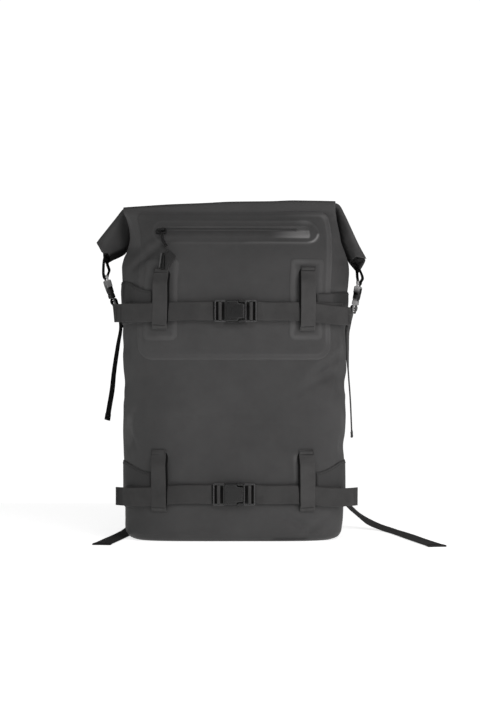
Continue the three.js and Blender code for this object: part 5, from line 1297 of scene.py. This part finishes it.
def harness(side, sign):
    lock = LOCK * [sign, 1, 1]
    seam = on_bag(sign * (float(girth(SEAM_Z)) - SEAM_S), SEAM_Z, 3.0)
    down = unit(seam - lock)
    away = unit(np.array([0, 1.0, 0]) - down * down[1])
    wide = np.cross(away, down)

    def at(a, w):
        return lock + down * a + away * w
    # padded strap: crowned foam between bound edges, stitched inside the binding
    rows = np.vstack([PAD[:-1, :3] * [sign, 1, 1], at(-10.3, 0)])
    line, idx = catmull(rows, 2.6, 6)
    k = np.arange(len(PAD))
    W, H = (np.interp(idx, k, PAD[:, c]) for c in (3, 4))
    for _ in range(20):
        for v in (W, H):
            v[1:-1] = (v[:-2] + 2 * v[1:-1] + v[2:]) / 4
    t = unit(np.gradient(line, axis=0))
    t[0], t[-1] = (0, 1, 0), down
    w = unit(np.array([1.0, 0, 0]) - t * t[:, :1])
    n = np.cross(t, w)
    q = np.linspace(0, 2 * math.pi, 56, endpoint=False)
    cx, sy = np.sign(np.cos(q)) * np.abs(np.cos(q)) ** 0.42, np.sign(np.sin(q)) * np.abs(np.sin(q)) ** 0.62
    run = np.concatenate([[0], np.cumsum(np.linalg.norm(np.diff(line, axis=0), axis=1))])
    X = cx[None] * W[:, None] / 2
    edge = W[:, None] / 2 - np.abs(X)
    groove = 1.0 - 0.30 * np.exp(-((edge - 5.5) / 1.7) ** 2) + 0.10 * smooth(6, 18, edge)
    puff = 1 + 0.035 * np.sin(run[:, None] / 13.0) * smooth(6, 14, edge)
    Y = sy[None] * H[:, None] / 2 * 0.92 * groove * puff
    ends = np.minimum(1, 0.55 + np.minimum(run, run[-1] - run) / 14)[:, None]
    P = line[:, None] + w[:, None] * X[..., None] + n[:, None] * (Y * ends)[..., None]
    mesh = Mesh()
    i = mesh.index(P, np.stack([X, np.broadcast_to(run[:, None], X.shape)], -1))
    mesh.skin(i, 0, wrap=True)
    for r, p in ((i[0], line[0]), (i[-1], line[-1])):
        c = mesh.points([p])
        mesh.add([(c, r[m], r[(m + 1) % len(r)]) for m in range(len(r))], 0)
    for e in (-1, 1):
        tube(mesh, line + w * (e * (W / 2 - 0.4))[:, None], 1.7, 1, 10)
        for f in (-1, 1):
            stitches(mesh, line + w * (e * (W / 2 - 5.5))[:, None] + n * (f * (H / 2 * 0.92 * 0.76 * ends[:, 0] + 0.1))[:, None], n * f, 2, pitch=3.4, size=2.4, r=0.25)
    pad = mesh.build(f"shoulder_strap_{side}", [M_PAD, M_BIND, M_THREAD], [f"shoulder_pad_{side}"])

    def put(P):
        return lock + P[..., 0:1] * down + P[..., 1:2] * np.cross(away, down) + P[..., 2:3] * away
    mesh = Mesh()
    moulded(mesh, fillet([(-9.6, -16.2), (1.6, -16.2), (1.6, 16.2), (-9.6, 16.2)], 2.6, 5), [fillet([(-6.5, -13.1), (-1.5, -13.1), (-1.5, 13.1), (-6.5, 13.1)], 1.0)], -1.1, 1.1, 0.8, put)
    moulded(mesh, fillet([(-12.6, -13.0), (-8.6, -14.6), (-8.6, 14.6), (-12.6, 13.0)], 1.6), [], -0.9, 0.9, 0.7, put)
    mesh.build(f"ladder_lock_{side}_body", [M_PLASTIC], [f"ladder_lock_{side}"], weighted=True)
    around = [at(*p) for p in ((18, -2.2), (-0.8, -2.1), (-2.6, -1.6), (-3.4, 0), (-2.6, 1.6), (-0.8, 2.1), (12, 3.2))]
    tail, _ = catmull(np.vstack([around[-1], np.array(FLOOR_TAILS[side], float)]), 3.0, 4)
    head, _ = catmull(np.vstack([seam, lerp(seam, around[0], 0.5), around]), 1.5, 4)
    path = np.vstack([head[:-1], tail])
    path[:, 2] = np.maximum(path[:, 2], WEB_T / 2 + 0.1)
    # laid stretch: the strap turns to lie flat where it reaches the floor
    run = np.concatenate([[0], np.cumsum(np.linalg.norm(np.diff(path, axis=0), axis=1))])
    k = np.clip((np.arange(len(path)) - len(head)) / max(1, len(tail)), 0, 1)
    tang = unit(np.gradient(path, axis=0))
    flat = unit(np.column_stack([-tang[:, 1], tang[:, 0], np.zeros(len(tang))]))
    wd = unit(lerp(wide[None] * -1.0, flat, smooth(0.06, 0.34, k)[:, None]))
    mesh = Mesh()
    p, tt, ww, nn, run, T = webbing(mesh, path, wd, WEB_W, WEB_T, hem=(0, 10.0))
    for a, off in ((run[-1] - 7.5, 1.25), (run[-1] - 2.4, 1.25), (3.0, 0.7), (9.0, 0.7)):
        m = int(np.argmin(np.abs(run - a)))
        for f in (1, -1):
            c = p[m] + nn[m] * off * f
            if c[2] > 0.3:
                stitches(mesh, np.linspace(c - ww[m] * 11, c + ww[m] * 11, 12), nn[m] * f, 1, pitch=2.2, size=1.7, r=0.3)
    # painted shade: the two harness straps are the same webbing, the left given a darker copy and the right a lighter
    # one
    ob = mesh.build(f"harness_webbing_{side}", [M_WEB_DARK if sign < 0 else M_WEB_MID, M_THREAD], [f"harness_web_{side}"])
    return ob


zip_pull()
bag_skin()
pocket_panel()
zip_tape()
zip_slider()
for _side, _s in (("left", -100.0), ("right", 97.4)):
    patch(_side, _s)
for _row in LOOPS:
    lash_loop(*_row)
for _name in WINGS:
    for _side, _sign in (("left", -1), ("right", 1)):
        wing(_name, _side, _sign)
for _name in BELTS:
    belt(_name)
rolled_collar()
for _c in CLOSURES:
    closure(_c)
for _side, _sign in (("left", -1), ("right", 1)):
    harness(_side, _sign)

# ------------------------------------------------------------------ studio: white floor, white surround, soft lights
floor_mesh = bpy.data.meshes.new("floor")
floor_mesh.from_pydata([(-3.0, -4.0, -0.0006), (3.0, -4.0, -0.0006), (3.0, 0.6, -0.0006), (-3.0, 0.6, -0.0006)], [], [(0, 1, 2, 3)])
floor = bpy.data.objects.new("floor", floor_mesh)
scene.collection.objects.link(floor)
m_floor = Nodes("floor_white")
m_floor.bsdf.inputs["Base Color"].default_value = (0.9, 0.9, 0.9, 1)
m_floor.bsdf.inputs["Roughness"].default_value = 0.9
m_floor.bsdf.inputs["Specular IOR Level"].default_value = 0.0
m_floor.bsdf.inputs["Emission Color"].default_value = (1, 1, 1, 1)
m_floor.bsdf.inputs["Emission Strength"].default_value = 0.74
floor_mesh.materials.append(m_floor.mat)

world = bpy.data.worlds.new("studio")
scene.world = world
world.use_nodes = True
wt = world.node_tree
bg = wt.nodes["Background"]
bg.inputs["Color"].default_value = (1, 1, 1, 1)
lit = wt.nodes.new("ShaderNodeBackground")
lit.inputs["Color"].default_value = (1, 1, 1, 1)
lit.inputs["Strength"].default_value = 0.17
bg.inputs["Strength"].default_value = 1.05
path_node = wt.nodes.new("ShaderNodeLightPath")
mix = wt.nodes.new("ShaderNodeMixShader")
wt.links.new(path_node.outputs["Is Camera Ray"], mix.inputs[0])
wt.links.new(lit.outputs[0], mix.inputs[1])
wt.links.new(bg.outputs[0], mix.inputs[2])
wt.links.new(mix.outputs[0], wt.nodes["World Output"].inputs["Surface"])


def soft_light(name, place, aim, size, power, colour=(1, 1, 1)):
    data = bpy.data.lights.new(name, "AREA")
    data.shape = "RECTANGLE"
    data.size, data.size_y = size
    data.energy = power
    data.color = colour
    ob = bpy.data.objects.new(name, data)
    scene.collection.objects.link(ob)
    ob.location = place
    ob.rotation_euler = (Vector(aim) - Vector(place)).to_track_quat("-Z", "Y").to_euler()
    return ob


soft_light("key_right", (1.15, -1.35, 0.70), (0, -0.05, 0.28), (1.6, 1.2), 10.5, (1.0, 0.945, 0.962))
soft_light("fill_left", (-1.7, -1.9, 0.8), (0, 0, 0.25), (0.9, 1.2), 0.35, (0.98, 1.0, 1.0))
soft_light("front_top", (0.3, -2.1, 2.00), (0, 0, 0.30), (1.6, 0.8), 15)
soft_light("edge_left", (-1.2, -0.16, 0.34), (0, 0, 0.30), (0.12, 1.0), 1.3)
soft_light("edge_right", (1.2, -0.16, 0.34), (0, 0, 0.30), (0.12, 1.0), 1.7)

scene.view_settings.view_transform = "Standard"
scene.view_settings.look = "None"

bpy.context.view_layer.update()
